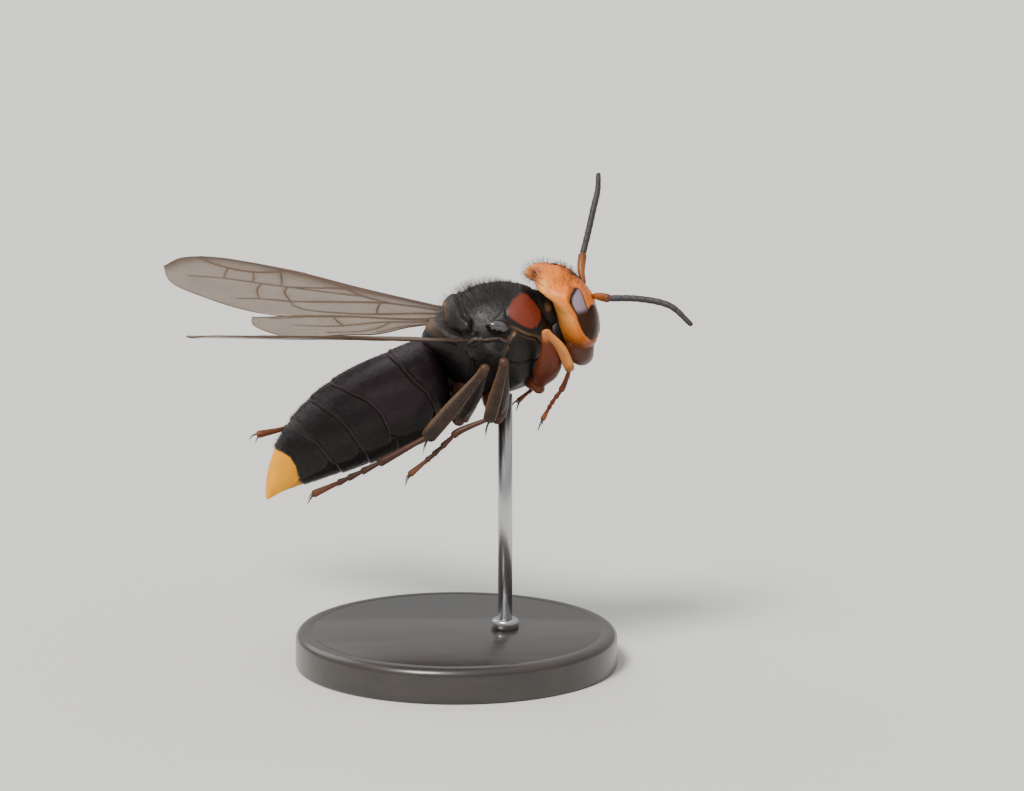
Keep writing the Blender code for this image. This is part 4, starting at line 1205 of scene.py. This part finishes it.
def wingHeight(points, shape):
    # a shallow pleated camber along the veins' fan; the hind wing tucks under the edge of the fore wing
    span, chord = points[:, 0], points[:, 1]
    fan = chord - 0.10 * span
    tuck = wing["tuck"] if shape is hindwing else 0.0
    return 0.10 * np.sin(fan * 1.7 + 0.4) * ease(0.5, 5.0, span) * (1 - 0.4 * ease(20, 28, span)) + tuck


def buildWing(name, shape, side):
    columns, rows = wing["columns"], wing["rows"]
    lead = smoothLine(shape["lead"], columns + 1)
    trail = smoothLine(shape["trail"], columns + 1)
    mesh = bmesh.new()
    bmesh.ops.create_grid(mesh, x_segments=columns, y_segments=rows, size=1.0)
    unit = verts(mesh)
    column = (unit[:, 0] + 1) / 2 * columns
    across = ((unit[:, 1] + 1) / 2)[:, None]
    index = np.arange(columns + 1)
    front = np.stack([np.interp(column, index, lead[:, axis]) for axis in (0, 1)], axis=1)
    rear = np.stack([np.interp(column, index, trail[:, axis]) for axis in (0, 1)], axis=1)
    flat = front * (1 - across) + rear * across
    places = np.column_stack((flat, wingHeight(flat, shape)))
    setVerts(mesh, places)
    bmesh.ops.remove_doubles(mesh, verts=mesh.verts, dist=0.01)
    bmesh.ops.recalc_face_normals(mesh, faces=mesh.faces)
    bmesh.ops.solidify(mesh, geom=mesh.faces[:], thickness=wing["thickness"])
    places = verts(mesh)
    flat = places[:, :2]
    toVein = np.min([lineDistance(flat, smoothLine(line, 24)) for line, _, _ in shape["veins"]], axis=0)
    toLead = lineDistance(flat, lead)
    smoke = 0.85 * hump(toLead, 0, 1.0) * (shape is forewing) + 0.45 * (1 - ease(0.0, 8.0, flat[:, 0]))
    smoke = smoke + 0.25 * hump(toVein, 0, 0.25)
    finish(f"{name}_membrane_{side}", mesh, wingFrame(side), wingSmoke, [f"{name}_{side}"],
           {"smoke": smoke})
    mesh = bmesh.new()
    for line, start, end in shape["veins"]:
        count = max(8, int(3 * len(line) + 2 * abs(line[-1][0] - line[0][0])))
        path = smoothLine(line, count)
        path = np.column_stack((path, wingHeight(path, shape)))
        widths = np.linspace(start, end, count) * wing["veins"][side]
        sweep(mesh, path, widths, widths * wing["veinDepth"], 8, across=(0.2, 1, 0))
    count = wing["rimStations"]
    rim = smoothLine(np.vstack((lead, trail[::-1]))[::4], count)
    sweep(mesh, np.column_stack((rim, wingHeight(rim, shape))), np.full(count, wing["rimWidth"]),
          np.full(count, wing["rimDepth"]), 6, across=(0.3, 0.2, 1))
    places = verts(mesh)
    finish(f"{name}_veins_{side}", mesh, wingFrame(side), veinBrown, (),
           {"rust_and_shade": 0.5 * ease(4, 14, places[:, 0])})


def membraneFinish():
    made, tree, shader = newFinish("wing_smoke")
    smoke = markShare(tree, "smoke")
    clouds = ranged(tree, grain(tree, membrane["cloud"]), 0.3, 0.7)
    clear = mixColour(tree, clouds, membrane["clear"], membrane["cloudy"])
    link(tree, mixColour(tree, smoke, clear, membrane["smoky"]), shader.inputs["Base Color"])
    link(tree, ranged(tree, smoke, 0.0, 1.0, *membrane["opacity"]), shader.inputs["Alpha"])
    tune(shader, {"Roughness": membrane["roughness"]})
    addRelief(tree, shader, grain(tree, membrane["ripple"], 4.0, 0.6), membrane["relief"],
              membrane["rippleDepth"])
    return made


wingSmoke = membraneFinish()
veinBrown = shellFinish(
    "vein_brown",
    {"colour": (0.035, 0.016, 0.009), "tone": (0.055, 0.026, 0.014), "roughness": (0.3, 0.45), "cloud": 0.8,
     "pit": 0.08, "relief": 0.2},
    (("rust_and_shade", (0.12, 0.055, 0.024)),))
for side in ("left", "right"):
    buildWing("forewing", forewing, side)
    buildWing("hindwing", hindwing, side)
print("wings built")


def woodFinish():
    made, tree, shader = newFinish("stand_lacquer")
    rings = streaks(tree, (1.0, 0.09, 1.0), {"Scale": 900, "Detail": 5.0})
    link(tree, mixColour(tree, rings, (0.012, 0.011, 0.011), (0.045, 0.036, 0.030)), shader.inputs["Base Color"])
    tune(shader, {"Roughness": 0.34, "Coat Weight": 0.4, "Coat Roughness": 0.15})
    addRelief(tree, shader, rings, 0.2, 0.03)
    return made


def steelFinish():
    made, tree, shader = newFinish("stand_rod_steel")
    brushed = streaks(tree, (1.0, 1.0, 0.03), {"Scale": 9000})
    link(tree, mixColour(tree, brushed, (0.42, 0.42, 0.43), (0.62, 0.62, 0.63)), shader.inputs["Base Color"])
    tune(shader, {"Metallic": 1.0, "Roughness": 0.3})
    return made


stand = {
    "radius": 13.5, "thickness": 3.0, "edge": 0.7, "foot": 0.25,
    # a turned ring near the rim: how far in, how wide its sides, how deep
    "ringIn": 0.5, "ringSide": 0.12, "ringDepth": 0.10,
    "rodRadius": 0.6, "rod": (-4.1, 3.0, 23.2), "collar": (1.15, 0.9), "collarEdge": 0.3,
}


def rimEdges(mesh, height):
    return [edge for edge in mesh.edges
            if all(abs(vert.co.z - height) < 0.001 for vert in edge.verts) and len(edge.link_faces) == 2]


def turnedPost(mesh, segments, radius, y, foot, top):
    bmesh.ops.create_cone(mesh, cap_ends=True, segments=segments, radius1=radius, radius2=radius,
                          depth=top - foot, matrix=Matrix.Translation((0, y, (top + foot) / 2)))


def roundRim(mesh, height, size, steps):
    bmesh.ops.bevel(mesh, geom=rimEdges(mesh, height), offset=size, segments=steps, profile=0.5,
                    affect="EDGES", material=-1)


def buildStand():
    mesh = bmesh.new()
    deep = stand["thickness"]
    turnedPost(mesh, 180, stand["radius"], 0, 0, deep)
    roundRim(mesh, deep, stand["edge"], 6)
    roundRim(mesh, 0, stand["foot"], 6)
    top = max(mesh.faces, key=lambda face: face.calc_center_median().z)
    bmesh.ops.inset_region(mesh, faces=[top], thickness=stand["ringIn"])
    for step in (-1, 1):
        bmesh.ops.inset_region(mesh, faces=[top], thickness=stand["ringSide"], depth=stand["ringDepth"] * step)
    finish("stand_base_turned", mesh, Matrix.Identity(4), woodFinish(), ["stand_base"])
    mesh = bmesh.new()
    y, low, tip = stand["rod"]
    radius, tall = stand["collar"]
    turnedPost(mesh, 64, stand["rodRadius"], y, low, tip)
    turnedPost(mesh, 64, radius, y, low, low + tall)
    roundRim(mesh, low + tall, stand["collarEdge"], 4)
    finish("stand_rod_turned", mesh, Matrix.Identity(4), steelFinish(), ["stand_rod"])


buildStand()
print("stand built")


coat = {
    # how many bristles; each number is a power of two
    "back": 1024, "collar": 128, "rear": 256, "head": 1024, "gaster": 4096, "legs": 1024,
    "root": 0.011, "tip": 0.3, "sunk": 0.03, "patch": 0.003,
}


def pick(chances, count):
    chances = np.clip(chances, 0, None)
    return dice.choice(len(chances), count, replace=False, p=chances / chances.sum())


def growCoat(name, place, material, roots, leans, lengths, girths, spots):
    # one bristle is drawn, doubled until there are enough, and each is then set at its root
    mesh = bmesh.new()
    tube(mesh, 3, 3)
    pattern = verts(mesh)
    while len(mesh.verts) < len(roots) * len(pattern):
        bmesh.ops.duplicate(mesh, geom=mesh.verts[:] + mesh.edges[:] + mesh.faces[:])
    hair = np.arange(len(mesh.verts)) // len(pattern)
    around = np.tile(pattern, (len(roots), 1))
    rise = (around[:, 2] + 1) / 2
    leans = leans / np.linalg.norm(leans, axis=1)[:, None]
    side = np.cross(leans, dice.normal(size=leans.shape))
    side /= np.linalg.norm(side, axis=1)[:, None]
    third = np.cross(leans, side)
    slim = girths[hair] * (1 - (1 - coat["tip"]) * rise)
    curl = (lengths * dice.uniform(0.02, 0.16, len(roots)))[hair] * rise ** 2
    along = lengths[hair] * rise - coat["sunk"]
    setVerts(mesh, roots[hair] + leans[hair] * along[:, None]
             + side[hair] * (around[:, 0] * slim + curl)[:, None] + third[hair] * (around[:, 1] * slim)[:, None])
    piece = finish(name, mesh, place, material)
    half = coat["patch"] / 2
    flatPlaces = spots[hair] + np.stack((around[:, 0], 2 * rise - 1), axis=1) * half
    corners = np.empty(len(piece.data.loops), int)
    piece.data.loops.foreach_get("vertex_index", corners)
    layer = piece.data.uv_layers.new(name="OFBake")
    layer.data.foreach_set("uv", np.clip(flatPlaces, 0, 1)[corners].astype(np.float32).ravel())


def unwrapped(places, axis):
    # where each root lies on the skin, unrolled round one of its own axes
    first, second = [other for other in range(3) if other != axis]
    centre = (places.max(0) + places.min(0)) / 2
    turn = np.arctan2(places[:, second] - centre[second], places[:, first] - centre[first]) / (2 * math.pi) + 0.5
    span = (places[:, axis] - places[:, axis].min()) / np.ptp(places[:, axis])
    return 0.01 + 0.98 * np.stack((turn, span), axis=1)


def coatOn(name, skin, place, material, count, chances, lean, lengths, girth=1.0, axis=1):
    places, outward = skin[:2]
    chosen = pick(chances, count)
    roots, normals = places[chosen], outward[chosen]
    leans = lean(roots, normals) + dice.normal(scale=0.14, size=roots.shape)
    long = lengths(roots) * dice.uniform(0.7, 1.15, count)
    girths = coat["root"] * girth * dice.uniform(0.8, 1.2, count)
    growCoat(name, place, material, roots, leans, long, girths, unwrapped(places, axis)[chosen])


def growAll():
    backward = np.array((0, 0.55, 0.25))
    places, _, covered = backSkin
    dome = ease(1.6, 2.6, places[:, 2]) * ease(0.05, -0.1, covered) * ease(-4.0, -2.5, places[:, 1])
    coatOn("coat_back", backSkin, bodyFrame, hairDark, coat["back"], dome,
           lambda roots, normals: normals + backward * 0.5,
           lambda roots: 0.28 + 0.6 * ease(-2.0, 1.8, roots[:, 1]), 0.9)
    places, _, depth = collarSkin
    coatOn("coat_collar", collarSkin, bodyFrame, hairDark, coat["collar"],
           ease(0.0, 0.1, depth) * ease(2.5, 3.6, places[:, 2]), lambda roots, normals: normals + backward * 0.3,
           lambda roots: 0.35 + 0 * roots[:, 0], 0.8)
    places, _, depth = rearSkin
    coatOn("coat_rear", rearSkin, bodyFrame, hairDark, coat["rear"],
           ease(0.0, 0.1, depth) + 0.35 * ease(2.2, 2.8, places[:, 1]),
           lambda roots, normals: normals + backward * 0.6, lambda roots: 0.45 + 0.35 * ease(1.5, 3.0, roots[:, 2]))
    places, _, depth = headSkin
    crown = ease(1.1, 2.6, places[:, 2]) * ease(-0.05, -0.2, depth) * ease(3.9, 2.6, np.abs(places[:, 0]))
    crown = crown + 0.25 * ease(-0.05, -0.2, depth) * ease(0.5, -0.5, places[:, 1])
    coatOn("coat_head", headSkin, headFrame, hairDark, coat["head"], crown,
           lambda roots, normals: normals + np.array((0, 0.2, 0.15)),
           lambda roots: 0.12 + 0.48 * ease(1.2, 3.0, roots[:, 2]), 0.9, 2)
    every = [np.concatenate([skin[part] for skin in gasterSkins[:5]]) for part in range(4)]
    _, _, showing, height = every
    coatOn("coat_gaster", every, bodyFrame, hairDark, coat["gaster"],
           showing * (0.35 + ease(-10, 60, height)),
           lambda roots, normals: normals * 0.55 + np.array((0, 0.9, -0.5)),
           lambda roots: 0.20 + 0.12 * ease(4, 18, roots[:, 1]), 0.75)
    skins, normals = [np.vstack([skin[part] for skin in legSkins]) for part in (0, 1)]
    ways = np.vstack([np.tile(skin[2], (len(skin[0]), 1)) for skin in legSkins])
    count = coat["legs"]
    chosen = pick(np.ones(len(ways)), count)
    growCoat("coat_legs", bodyFrame, hairGold, skins[chosen],
             normals[chosen] * 0.7 + ways[chosen] * 0.8 + dice.normal(scale=0.12, size=(count, 3)),
             dice.uniform(0.12, 0.22, count), coat["root"] * dice.uniform(0.6, 0.9, count),
             unwrapped(skins, 1)[chosen])


growAll()
print("coat grown")


studio = {
    "target": (-0.001219, -0.004566, 0.023331), "distance": 0.8, "elevation": 13.0, "behind": 5.0,
    "lens": 337.5, "sensor": 36.0, "nearest": 0.01, "floorSize": 60.0, "floor": (0.66, 0.66, 0.645),
    "zenith": (1.0, 0.99, 0.97), "horizon": (0.50, 0.50, 0.495), "sky": 0.9, "skyHeights": (0.05, 0.95),
    # each sun: where it stands, power, softness in degrees and colour
    "suns": (((-0.5, 0.38, 0.8), 4.0, 18, (1.0, 0.97, 0.93)), ((0.6, 0.5, 0.6), 0.6, 40, (0.97, 0.98, 1.0))),
}


def buildStage():
    mesh = bmesh.new()
    bmesh.ops.create_grid(mesh, x_segments=1, y_segments=1, size=studio["floorSize"] / 2)
    data = bpy.data.meshes.new("floor")
    mesh.to_mesh(data)
    mesh.free()
    floor = newObject("floor", data)
    made, _, shader = newFinish("floor_paper")
    tune(shader, {"Base Color": (*studio["floor"], 1), "Roughness": 0.9, "Specular IOR Level": 0.1})
    data.materials.append(made)
    world = bpy.data.worlds.new("studio")
    bpy.context.scene.world = world
    world.use_nodes = True
    tree = world.node_tree
    background = tree.nodes["Background"]
    tune(background, {"Strength": studio["sky"]})
    place = node(tree, "ShaderNodeTexCoord")
    split = node(tree, "ShaderNodeSeparateXYZ")
    link(tree, place.outputs["Generated"], split.inputs["Vector"])
    height = ranged(tree, split.outputs["Z"], *studio["skyHeights"], interpolation_type="SMOOTHSTEP")
    link(tree, mixColour(tree, height, studio["horizon"], studio["zenith"]), background.inputs["Color"])


def buildSuns():
    for number, (place, power, softness, tint) in enumerate(studio["suns"]):
        lamp = bpy.data.lights.new(f"sun_{number}", "SUN")
        lamp.energy = power
        lamp.angle = math.radians(softness)
        lamp.color = tint
        holder = newObject(f"sun_{number}", lamp)
        holder.rotation_euler = (-Vector(place)).to_track_quat("-Z", "Y").to_euler()


def buildCamera():
    up, turn = math.radians(studio["elevation"]), math.radians(studio["behind"])
    toward = Vector((math.cos(up) * math.cos(turn), -math.cos(up) * math.sin(turn), -math.sin(up)))
    lens = bpy.data.cameras.new("photo_camera")
    lens.lens = studio["lens"]
    lens.sensor_width = studio["sensor"]
    lens.clip_start = studio["nearest"]
    holder = newObject("photo_camera", lens)
    place = Vector(studio["target"]) - toward * studio["distance"]
    holder.matrix_world = Matrix.Translation(place) @ toward.to_track_quat("-Z", "Y").to_matrix().to_4x4()
    bpy.context.scene.camera = holder


buildStage()
buildSuns()
buildCamera()
print("stage set")
